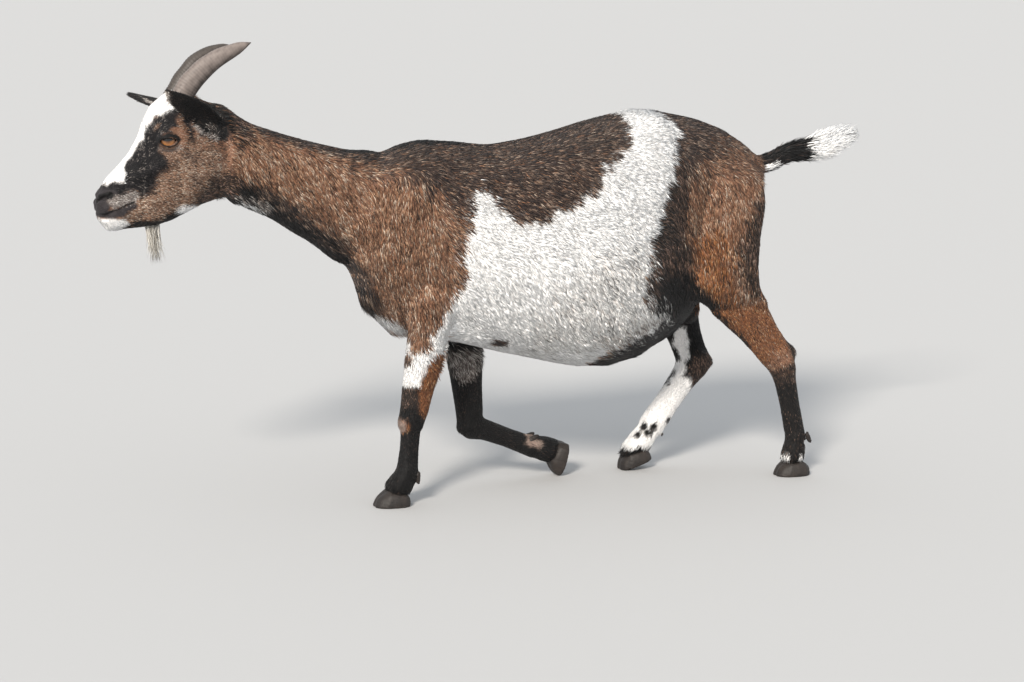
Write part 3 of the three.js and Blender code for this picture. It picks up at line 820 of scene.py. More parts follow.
BODY_FORMS = (
    Form("shoulder blade", (52, 72, 560), (-8, 92, 430), 36, 4),
    Form("hollow before the shoulder", (-46, 58, 540), (-76, 58, 430), 20, -4),
    Form("hollow behind the shoulder", (100, 92, 545), (112, 104, 400), 26, -3),
    Form("point of the shoulder", (-22, 84, 400), (-14, 86, 384), 24, 4),
    Form("upper arm", (0, 96, 376), (58, 92, 330), 24, 3),
    Form("hip bone", (452, 58, 614), (462, 66, 604), 20, 6),
    Form("flank hollow", (385, 88, 572), (415, 104, 530), 34, -5),
    Form("hollow below the hip", (520, 96, 500), (500, 108, 430), 30, -3),
    Form("pin bone", (662, 30, 540), (668, 34, 528), 15, 4),
    Form("rump muscle", (540, 74, 560), (610, 84, 500), 40, 3),
    Form("thigh muscle", (600, 104, 440), (584, 104, 380), 42, 4),
    Form("groove behind the thigh", (652, 62, 500), (646, 88, 380), 10, -2.5),
    Form("kneecap", (532, 108, 342), (540, 104, 326), 16, 3, Side.LEFT),
    Form("flank fold", (520, 96, 345), (478, 112, 400), 15, 3),
    Form("belly", (300, 110, 300), (380, 110, 300), 60, 2),
    Form("breastbone", (-30, 0, 330), (10, 0, 292), 24, 5),
    Form("neck muscle", (-220, 44, 560), (-50, 70, 450), 24, 3),
    Form("jugular groove", (-216, 34, 516), (-70, 50, 408), 11, -3),
    Form("crest muscle", (-210, 26, 610), (-60, 34, 566), 18, 2),
    Form("wing of the first neck bone", (-236, 42, 604), (-226, 42, 590), 15, 3),
    Form("hamstring hollow, outside", (634, 102, 290), (676, 92, 226), 9, -7, Side.LEFT),
    Form("hamstring hollow, inside", (640, 52, 290), (678, 58, 226), 9, -6, Side.LEFT),
    Form("hamstring hollow, outside", (566, 98, 300), (580, 92, 226), 9, -6, Side.RIGHT),
    Form("hamstring hollow, inside", (566, 50, 300), (580, 48, 226), 9, -6, Side.RIGHT),
    Form("shin bone", (596, 96, 300), (660, 84, 216), 9, 2, Side.LEFT),
    Form("point of the hock", (712, 72, 226), (718, 72, 218), 9, 2.5, Side.LEFT),
    Form("hock, outside", (700, 90, 196), (706, 90, 188), 11, 2.5, Side.LEFT),
    Form("tendon groove", (716, 88, 160), (728, 88, 90), 5, -2, Side.LEFT),
    Form("fetlock", (722, 84, 66), (722, 84, 64), 11, 2, Side.LEFT),
    Form("knee, outside", (30, 82, 142), (30, 82, 132), 12, 2, Side.LEFT),
    Form("knee, front", (12, 66, 142), (14, 66, 128), 10, 2, Side.LEFT),
    Form("tendon groove", (34, 80, 116), (26, 80, 72), 5, -2, Side.LEFT),
    Form("forearm muscle", (40, 86, 250), (40, 84, 210), 16, 3, Side.LEFT),
    Form("elbow point", (84, 90, 312), (88, 88, 304), 14, 3, Side.LEFT),
    Form("fetlock", (22, 78, 56), (22, 78, 54), 10, 2, Side.LEFT),
    Form("forearm muscle", (166, 82, 246), (168, 80, 204), 16, 2.5, Side.RIGHT),
    Form("root of the tail", (655, 0, 528), (690, 0, 530), 13, 3),
    Form("hamstring's end", (620, 90, 346), (640, 84, 310), 14, 7, Side.LEFT),
    Form("knee, front", (166, 65, 94), (178, 65, 86), 11, 2, Side.RIGHT),
    Form("tendon groove", (210, 80, 92), (262, 80, 62), 5, -2, Side.RIGHT),
)
HEAD_FORMS = (
    Form("brow ridge", (-380, 44, 628), (-348, 53, 633), 6, 4.2),
    Form("hollow over the brow", (-372, 44, 644), (-350, 50, 648), 6, -1.5),
    Form("rim behind the eye", (-339, 54, 626), (-336, 55, 600), 5, 2.6),
    Form("hollow before the eye", (-388, 43, 606), (-384, 45, 598), 6, -3),
    Form("tear groove", (-378, 49, 603), (-394, 42, 588), 2.8, -2.2),
    Form("hollow under the lower lid", (-374, 51, 591), (-350, 55, 589), 4.5, -2.2),
    Form("cheekbone", (-356, 54, 580), (-404, 38, 553), 7, 3.2),
    Form("hollow under the cheekbone", (-350, 54, 562), (-398, 38, 538), 8, -2.4),
    Form("cheek hollow", (-378, 44, 540), (-402, 36, 520), 11, -2.6),
    Form("jaw muscle", (-296, 48, 556), (-318, 48, 526), 20, 4),
    Form("front of the jaw muscle", (-342, 52, 568), (-338, 44, 508), 6, -2),
    Form("jaw's lower edge", (-392, 22, 482), (-312, 28, 500), 7, 2.4),
    Form("groove behind the jaw", (-250, 44, 580), (-262, 30, 518), 10, 2),
    Form("nose side", (-408, 26, 576), (-440, 24, 546), 6, -2.2),
    Form("nose bridge", (-400, 0, 606), (-450, 0, 548), 9, 2.2),
    Form("forehead dip", (-384, 0, 640), (-380, 0, 650), 11, -2),
    Form("temple hollow", (-328, 52, 636), (-318, 50, 640), 9, -3),
    Form("ear's root", (-292, 48, 634), (-280, 46, 626), 12, 4),
    Form("nostril's upper wing", (-468, 12, 524), (-450, 26, 531), 4, 2.4),
    Form("nostril's lower wing", (-470, 14, 511), (-455, 27, 515), 4, 2),
    Form("nostril", (-469, 10, 515), (-459, 22, 521), 3.4, -7, sink=4),
    Form("nostril's rear", (-459, 22, 521), (-449, 28, 525), 2.4, -5, sink=2.5),
    Form("fold behind the nostril", (-448, 29, 532), (-440, 30, 512), 2.6, -1.8),
    Form("upper lip", (-456, 26, 504), (-420, 31, 516), 6, 2.6),
    Form("mouth, front", (-471, 0, 491), (-465, 15, 492), 2.2, -6),
    Form("mouth, side", (-465, 15, 492), (-446, 29, 497), 2.2, -6.5),
    Form("mouth, corner", (-446, 29, 497), (-413, 32, 510), 2.1, -6),
    Form("cleft of the lip", (-474, 0, 514), (-473, 0, 496), 2.0, -3.5),
    Form("lower lip", (-458, 16, 484), (-426, 28, 492), 4.5, 2),
    Form("chin", (-450, 0, 470), (-440, 0, 468), 9, 2),
    Form("fold at the mouth's corner", (-407, 33, 518), (-403, 33, 498), 3, 2.2),
    Form("dimple behind the mouth", (-398, 34, 514), (-396, 34, 500), 3, -1.6),
)


@dataclass
class Eyeball:
    """One eye: its place, its size and the slit between its lids, in millimetres."""

    side: int
    centre: Point = (-361, 47, 610)
    radius: float = 14.5
    gaze: Point = (-0.2, 0.97, -0.02)
    opening: float = 13.4  # half the slit's length
    upper: float = 4.6  # how far the upper lid is raised over the corners
    lower: float = 7.0
    lid: float = 2.2  # the lids' thickness
    slant: float = -0.06  # the front corner lies a little lower

    def basis(self) -> tuple[np.ndarray, np.ndarray, np.ndarray, np.ndarray]:
        """Give the eye's centre and its directions along the slit, up and out."""
        middle = site(*mirror(self.centre, self.side))
        out = unit(np.array(mirror(self.gaze, self.side)))
        along = np.array([1.0, 0.0, -self.slant])
        along = unit(along - out * (along @ out))
        up = np.cross(along, out) if self.side > 0 else np.cross(out, along)
        return middle, along, up if up[2] > 0 else -up, out

    def open_in(self, grid: Field) -> None:
        """Cover the eye with lids in a field, and cut the slit between them."""
        middle, along, up, out = self.basis()
        x, y, z = grid.axes()
        across = [
            (x - middle[0]) * d[0] + (y - middle[1]) * d[1] + (z - middle[2]) * d[2] for d in (along, up, out)
        ]
        globe = np.sqrt(across[0] ** 2 + across[1] ** 2 + across[2] ** 2) - (self.radius + self.lid) * MM
        grid.values = merged(grid.values, globe.astype(np.float32), 6 * MM)
        half = self.opening
        slit = None
        for rise, sign in ((self.upper, 1), (self.lower, -1)):
            bend = (half**2 + rise**2) / (2 * rise)
            arc = np.sqrt(across[0] ** 2 + (across[1] - sign * (rise - bend) * MM) ** 2) - bend * MM
            slit = arc if slit is None else np.maximum(slit, arc)
        slit = np.maximum(slit, 2 * MM - across[2])
        grid.values = np.maximum(grid.values, -slit).astype(np.float32)


@dataclass
class Skin:
    """The one skin that stands for every node of flesh."""

    body_voxel: float = 0.003
    head_voxel: float = 0.0016
    seam: float = -218  # where the head's finer mesh meets the body's, in the drawing's millimetres
    gap: float = 3  # millimetres between the two meshes, which the bridge closes
    markings: Markings = field(default_factory=Markings)
    eyes: tuple[Eyeball, Eyeball] = (Eyeball(-1), Eyeball(1))
    fields: list[Field] = field(default_factory=list)  # the head's and the body's, once the skin is drawn

    def nodes(self) -> list[str]:
        """List the nodes that the skin replaces."""
        hard = ("eye", "horn", "claw", "beard")  # "claw" covers the dewclaws too
        return [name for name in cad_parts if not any(word in name for word in hard)]

    def depth(self, grid: Field) -> np.ndarray:
        """Say how deep the coat is over each place of a grid, in metres."""
        x, _, z = grid.axes()
        body = 1.0 + 0.6 * eased(z, 0.06, 0.16) + 1.6 * eased(z, 0.2, 0.36)
        rear = body + 6.5 * eased(x, 0.5, 0.57)
        return ((rear - 2.2 * eased(-x, 0.41, 0.5)) * MM).astype(np.float32)

    def body(self) -> Field:
        """Make the field of the whole animal at the body's pitch."""
        low = np.array(CAD_BOX[0]) - 0.02
        high = np.array(CAD_BOX[1]) + 0.02
        flesh = [name for name in self.nodes() if "ear_" not in name]
        grid = Field.of_nodes(flesh, low, high, self.body_voxel, 9, 8 * MM)
        grid.values -= 0.4 * MM
        fine, soft = grid.blurred(3.2 * MM), grid.blurred(11 * MM)
        x, _, z = grid.axes()
        trunk = eased(z, 0.2, 0.36) * (1 - eased(x, 0.44, 0.5)) * (1 - 0.7 * eased(-x, 0.44, 0.5))
        grid.values = fine * (1 - trunk) + soft * trunk - 0.5 * MM
        dewclaws = [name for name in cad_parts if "dewclaw" in name]
        bases = Field.of_nodes(dewclaws, low, high, self.body_voxel, 9)
        grid.values = merged(grid.values, bases.blurred(3.2 * MM) - 1.6 * MM, 6 * MM).astype(np.float32)
        for form in BODY_FORMS:
            form.press(grid)
        return grid

    def head(self, body: Field) -> Field:
        """Make the head's finer field, which runs into the body's at the neck.

        Args:
            body: The body's field.

        Returns:
            The head's field.
        """
        low = np.array([CAD_BOX[0][0] - 0.01, CAD_BOX[0][1], 0.43])
        high = np.array([self.seam * MM + FOREFOOT_X + 0.02, CAD_BOX[1][1], 0.73])
        grid = Field.of_nodes(["head", "neck"], low, high, self.head_voxel, 12)
        ears = Field.of_nodes(["ear_left", "ear_right"], low, high, self.head_voxel, 8)
        grid.values = grid.blurred(4.2 * MM) - 0.8 * MM
        for form in HEAD_FORMS:
            form.press(grid, settle=True)
        x, y, z = np.meshgrid(*(axis.ravel() for axis in grid.axes()), indexing="ij")
        near = x.ravel() > (self.seam - 60) * MM + FOREFOOT_X
        place = np.stack([x.ravel()[near], y.ravel()[near], z.ravel()[near]], axis=1)
        share = eased(place[:, 0], (self.seam - 56) * MM + FOREFOOT_X, (self.seam - 6) * MM + FOREFOOT_X)
        flat = grid.values.ravel()
        flat[near] = flat[near] * (1 - share) + body.sample(place) * share
        grid.values = flat.reshape(grid.values.shape)
        grid.values += self.depth(grid)
        grid.values = merged(grid.values, ears.blurred(1.8 * MM) - 0.7 * MM, 6 * MM).astype(np.float32)
        for eye in self.eyes:
            eye.open_in(grid)
        return grid

    def build(self) -> bpy.types.Object:
        """Draw the skin as one closed mesh with its markings.

        Returns:
            The skin's object.
        """
        body = self.body()
        head = self.head(body)
        body.values += self.depth(body)
        self.fields = [head, body]
        plane = self.seam * MM + FOREFOOT_X
        shell = bmesh.new()
        rims = []
        for grid, cut, keep, thin in ((head, plane, 1, 0.012), (body, plane + self.gap * MM, -1, 0.02)):
            points, faces = grid.surface(thin)
            mesh = bpy.data.meshes.new("half")
            mesh.from_pydata(points.tolist(), [], faces)
            half = bmesh.new()
            half.from_mesh(mesh)
            geometry = half.verts[:] + half.edges[:] + half.faces[:]
            bmesh.ops.bisect_plane(
                half, geom=geometry, plane_co=(cut, 0, 0), plane_no=(keep, 0, 0), clear_outer=True
            )
            half.to_mesh(mesh)
            half.free()
            known = len(shell.verts)
            shell.from_mesh(mesh)
            shell.verts.ensure_lookup_table()
            open_edges = [
                e for e in shell.edges
                if e.is_boundary and all(v.index >= known or v.index < 0 for v in e.verts)
            ]
            rims.append({v for e in open_edges for v in e.verts if abs(v.co.x - cut) < 1e-5})
            bpy.data.meshes.remove(mesh)
        self.bridge(shell, rims)
        self.keep_largest(shell)
        bmesh.ops.recalc_face_normals(shell, faces=shell.faces)
        mesh = bpy.data.meshes.new("skin")
        shell.to_mesh(mesh)
        shell.free()
        mesh.shade_smooth()
        points = np.empty(len(mesh.vertices) * 3)
        mesh.vertices.foreach_get("co", points)
        paint(mesh, "hide", self.markings.skin(points.reshape(-1, 3)))
        return placed("skin", mesh)

    def over(self, points: np.ndarray) -> np.ndarray:
        """Say how far each point lies outside the skin, in metres."""
        head, body = self.fields
        return np.where(points[:, 0] < self.seam * MM + FOREFOOT_X, head.sample(points), body.sample(points))

    def bridge(self, shell: bmesh.types.BMesh, rims: list[set[bmesh.types.BMVert]]) -> None:
        """Close the gap at the neck with a strip of triangles, going round by angle.

        Args:
            shell: The two meshes.
            rims: The head's and the body's open rims.
        """
        centre = sum((v.co for v in rims[0]), Vector()) / len(rims[0])

        def turn(vertex: bmesh.types.BMVert) -> float:
            """Give a rim point's angle round the neck."""
            return math.atan2(vertex.co.z - centre.z, vertex.co.y - centre.y)

        first, second = (sorted(rim, key=turn) for rim in rims)
        i = j = 0
        while i < len(first) or j < len(second):
            a, b = first[i % len(first)], second[j % len(second)]
            next_a = turn(first[(i + 1) % len(first)]) + (2 * math.pi if i + 1 >= len(first) else 0)
            next_b = turn(second[(j + 1) % len(second)]) + (2 * math.pi if j + 1 >= len(second) else 0)
            if j >= len(second) or (i < len(first) and next_a < next_b):
                shell.faces.new((a, b, first[(i + 1) % len(first)]))
                i += 1
            else:
                shell.faces.new((a, b, second[(j + 1) % len(second)]))
                j += 1

    def keep_largest(self, shell: bmesh.types.BMesh) -> None:
        """Delete every loose scrap, keeping the largest connected piece."""
        left = set(shell.verts)
        pieces = []
        while left:
            seed = left.pop()
            piece, edge = {seed}, [seed]
            while edge:
                for link in edge.pop().link_edges:
                    for vertex in link.verts:
                        if vertex in left:
                            left.remove(vertex)
                            piece.add(vertex)
                            edge.append(vertex)
            pieces.append(piece)
        pieces.sort(key=len)
        for piece in pieces[:-1]:
            bmesh.ops.delete(shell, geom=list(piece), context="VERTS")


def placed(name: str, mesh: bpy.types.Mesh) -> bpy.types.Object:
    """Put a finished mesh in the scene under a name."""
    made = bpy.data.objects.new(name, mesh)
    bpy.context.scene.collection.objects.link(made)
    return made


def turned_out(name: str, points: np.ndarray, faces: list[tuple[int, ...]]) -> bpy.types.Mesh:
    """Make a smooth closed mesh whose faces all look outwards.

    Args:
        name: The mesh's name.
        points: Its corners, in metres.
        faces: The corners of each face, by number.

    Returns:
        The mesh.
    """
    mesh = bpy.data.meshes.new(name)
    mesh.from_pydata(points.tolist(), [], faces)
    shell = bmesh.new()
    shell.from_mesh(mesh)
    bmesh.ops.recalc_face_normals(shell, faces=shell.faces)
    shell.to_mesh(mesh)
    shell.free()
    mesh.shade_smooth()
    return mesh


def paint(mesh: bpy.types.Mesh, name: str, colours: np.ndarray) -> None:
    """Give a mesh one linear colour for each vertex.

    Args:
        mesh: The mesh.
        name: The attribute's name.
        colours: One row of red, green and blue for each vertex.
    """
    layer = mesh.color_attributes.new(name=name, type="FLOAT_COLOR", domain="POINT")
    full = np.ones((len(colours), 4), np.float32)
    full[:, :3] = colours
    layer.data.foreach_set("color", full.ravel())


@dataclass(frozen=True)
class Lay:
    """How the hair lies and grows near a line of the body, in the drawing's millimetres."""

    piece: str
    start: Point
    end: Point
    reach: float
    flow: Point | None = None  # along the line itself where none is given
    length: float = 16.0
    side: Side = Side.BOTH


LAYS = (
    Lay("trunk", (0, 0, 588), (460, 0, 628), 55, (1, 0, -0.1), 15),
    Lay("trunk", (150, 130, 460), (400, 140, 480), 80, (1, 0, -0.7), 16),
    Lay("trunk", (150, 120, 330), (400, 140, 330), 70, (0.75, 0, -1), 19),
    Lay("trunk", (80, 40, 255), (440, 40, 235), 60, (1, 0, -0.3), 20),
    Lay("trunk", (10, 96, 500), (30, 96, 340), 55, (0.12, 0, -1), 17),
    Lay("trunk", (480, 60, 600), (640, 50, 550), 50, (0.9, 0, -0.5), 15),
    Lay("trunk", (500, 110, 500), (470, 110, 380), 50, (0.35, 0, -1), 17),
    Lay("trunk", (-40, 0, 340), (20, 0, 285), 40, (0.4, 0, -1), 27),
    Lay("neck", (-215, 46, 565), (-60, 66, 490), 45, (0.5, 0, -0.85), 16),
    Lay("neck", (-245, 0, 645), (-60, 0, 588), 30, (1, 0, -0.3), 18),
    Lay("neck", (-235, 0, 500), (-70, 0, 400), 38, (0.6, 0, -0.8), 20),
    Lay("head", (-462, 0, 530), (-372, 0, 664), 20, (0.55, 0, 0.8), 4.5),
    Lay("head", (-410, 34, 530), (-280, 42, 560), 30, (1, 0, -0.1), 7),
    Lay("head", (-385, 44, 585), (-372, 46, 600), 16, (0.8, 0, 0.45), 5),
    Lay("head", (-440, 0, 470), (-300, 0, 500), 22, (1, 0, 0.05), 8),
    Lay("head", (-345, 0, 684), (-262, 0, 664), 24, (1, 0, -0.2), 13),
    Lay("head", (-340, 52, 630), (-312, 50, 620), 14, (1, 0, 0.1), 6),
    Lay("head", (-464, 12, 505), (-448, 22, 486), 12, (0.7, 0, -0.5), 3.2),
    Lay("ear", (-290, 50, 634), (-376, 112, 690), 15, None, 7, Side.LEFT),
    Lay("ear", (-292, 50, 632), (-386, 108, 668), 15, None, 7, Side.RIGHT),
    Lay("foreleg_left", (58, 65, 300), (32, 65, 138), 30, None, 7, Side.LEFT),
    Lay("foreleg_left", (32, 65, 138), (23, 65, 54), 20, None, 5.5, Side.LEFT),
    Lay("foreleg_left", (23, 65, 54), (4, 65, 30), 15, None, 10, Side.LEFT),
    Lay("foreleg_right", (158, 65, 300), (178, 65, 102), 30, None, 6.5, Side.RIGHT),
    Lay("foreleg_right", (178, 65, 102), (286, 65, 53), 20, None, 5.5, Side.RIGHT),
    Lay("foreleg_right", (286, 65, 53), (318, 65, 42), 15, None, 10, Side.RIGHT),
    Lay("hindleg_left", (620, 90, 460), (600, 95, 360), 60, (0.05, 0, -1), 15, Side.LEFT),
    Lay("hindleg_left", (580, 88, 330), (692, 72, 203), 30, (0.5, 0, -1), 9, Side.LEFT),
    Lay("hindleg_left", (692, 70, 203), (721, 70, 66), 22, None, 7, Side.LEFT),
    Lay("hindleg_left", (721, 70, 66), (712, 70, 30), 15, None, 11, Side.LEFT),
    Lay("hindleg_right", (600, 90, 460), (580, 95, 360), 60, (0.05, 0, -1), 15, Side.RIGHT),
    Lay("hindleg_right", (528, 88, 330), (594, 72, 182), 30, None, 8, Side.RIGHT),
    Lay("hindleg_right", (594, 70, 182), (512, 70, 75), 22, None, 7, Side.RIGHT),
    Lay("hindleg_right", (512, 70, 75), (482, 70, 34), 15, None, 11, Side.RIGHT),
    Lay("tail", (690, 0, 530), (862, 0, 568), 18, None, 38),
)
BARE = (  # lines of bare skin and how far the hair keeps off them, in the drawing's millimetres
    (((-470, 8, 515), (-462, 17, 523), (-453, 25, 525)), 3.6),
    (
        ((-471, 0, 491), (-465, 15, 492), (-455, 27, 494), (-439, 30, 500), (-427, 31, 506), (-414, 31, 511)),
        2.4,
    ),
    (((-475, 0, 524), (-474, 0, 498)), 8.0),
)
CHARTS = {  # each unwrap: the axis it goes round, and its tile of the square
    "trunk": ((-60, 0, 430), (700, 0, 430), (0, 0, 1, 1)),
    "neck": ((-270, 0, 590), (-20, 0, 470), (0, 0, 1, 1)),
    "head": ((-474, 0, 500), (-240, 0, 600), (0, 0, 1, 0.7)),
    "ear": ((-290, 50, 634), (-382, 112, 682), (0, 0.72, 1, 1)),
    "foreleg_left": ((60, 65, 330), (0, 65, 20), (0, 0, 1, 0.49)),
    "foreleg_right": ((158, 65, 330), (320, 65, 20), (0, 0.51, 1, 1)),
    "hindleg_left": ((620, 80, 480), (712, 70, 20), (0, 0, 1, 1)),
    "hindleg_right": ((600, 80, 480), (500, 70, 20), (0, 0, 1, 1)),
    "tail": ((680, 0, 530), (862, 0, 568), (0, 0, 1, 1)),
}


@dataclass
class Growth:
    """The tufts of one stretch of coat, as arrays with one row each."""

    roots: np.ndarray
    normals: np.ndarray
    flow: np.ndarray
    length: np.ndarray
    width: np.ndarray
    lift: np.ndarray
    colour: np.ndarray
    bake: np.ndarray
    droop: float = 0.0
    sunk: float = 0.0008  # metres that a root lies under the skin
    chart: float = 0.003  # the size of one tuft's place in the unwrap

    def part(self, chosen: np.ndarray) -> "Growth":
        """Take some of the tufts."""
        rows = (
            self.roots, self.normals, self.flow, self.length, self.width, self.lift, self.colour, self.bake,
        )
        return Growth(*(row[chosen] for row in rows), droop=self.droop)

    def mesh(self, name: str, rings: int = 1) -> bpy.types.Mesh:
        """Draw each tuft as a closed blade: of four faces with one ring, and three-sided with more.

        Args:
            name: The mesh's name.
            rings: How many rings of corners a blade has between its root and its tip.

        Returns:
            The mesh, with its colours and its map for baking.
        """
        count = len(self.roots)
        side = np.cross(self.normals, self.flow)
        draw = np.random.default_rng(SEED + count)
        bend = (draw.normal(0, 0.10, count) * self.length)[:, None] * side
        corners_round = 2 if rings == 1 else 3
        share = np.array([0.38]) if rings == 1 else np.linspace(0.1, 0.8, rings)
        broad = np.array([1.0]) if rings == 1 else np.sin(np.linspace(0.9, 2.45, rings))
        size = 2 + corners_round * rings
        points = np.empty((count, size, 3), np.float32)
        shade = np.empty((count, size, 3), np.float32)
        map_at = np.zeros((size, 2))

        def along(t: float) -> np.ndarray:
            """Give each blade's middle at a share of its length."""
            rise = -self.sunk + (self.lift + self.sunk) * (1 - (1 - t) ** 2.0)
            fall = np.array([0, 0, -self.droop * t * t])
            return (
                self.roots + self.flow * (self.length * t)[:, None] + self.normals * rise[:, None]
                + bend * t * t + fall
            )

        points[:, 0], points[:, -1] = along(0), along(1)
        bright = self.colour.max(axis=1, keepdims=True)
        # painted shade: each tuft darkens towards its root, where the tufts overlap; its tip is paler, as the
        # hair's own tips are
        shade[:, 0], shade[:, -1] = self.colour * (0.66 + 0.3 * bright), self.colour * (1.1 - 0.1 * bright)
        map_at[0], map_at[-1] = (0, -0.5), (0, 0.5)
        for k, (t, b) in enumerate(zip(share, broad)):
            middle, first = along(t), 1 + corners_round * k
            half = (self.width * b / 2)[:, None]
            points[:, first] = middle + side * half
            points[:, first + 1] = middle - side * half
            if corners_round == 3:
                points[:, first + 2] = middle + self.normals * half * 0.55
            # painted shade: the rings of darker hair are dimmed, more so nearer the root
            lit = self.colour * (0.9 + 0.1 * np.maximum(bright, t))
            ring = ((0.3, t - 0.5), (-0.3, t - 0.5), (0, t - 0.5))
            shade[:, first : first + corners_round] = lit[:, None]
            map_at[first : first + corners_round] = ring[:corners_round]
        last = size - 1
        if corners_round == 2:
            faces = [(0, 2, 1), (last, 1, 2), (0, 1, last), (0, last, 2)]
        else:
            faces = [(0, 1, 2), (0, 2, 3), (0, 3, 1)]
            for k in range(rings - 1):
                a, b = 1 + 3 * k, 4 + 3 * k
                for p, q in ((0, 1), (1, 2), (2, 0)):
                    faces += [(a + p, b + q, a + q), (a + p, b + p, b + q)]
            faces += [(last, last - 2, last - 3), (last, last - 1, last - 2), (last, last - 3, last - 1)]
        block = np.array(faces, np.int64)
        corners = (block[None] + (np.arange(count) * size)[:, None, None]).reshape(-1)
        mesh = bpy.data.meshes.new(name)
        mesh.vertices.add(count * size)
        mesh.vertices.foreach_set("co", points.ravel())
        mesh.loops.add(len(corners))
        mesh.loops.foreach_set("vertex_index", corners.astype(np.int32))
        mesh.polygons.add(len(corners) // 3)
        mesh.polygons.foreach_set("loop_start", np.arange(0, len(corners), 3, dtype=np.int32))
        layer = mesh.uv_layers.new(name="OFBake")
        spot = (self.bake[:, None] + map_at[None] * self.chart).reshape(-1, 2)[corners]
        layer.data.foreach_set("uv", np.clip(spot, 0, 1).astype(np.float32).ravel())
        mesh.update()
        mesh.validate()
        paint(mesh, "hair", shade.reshape(-1, 3))
        return mesh


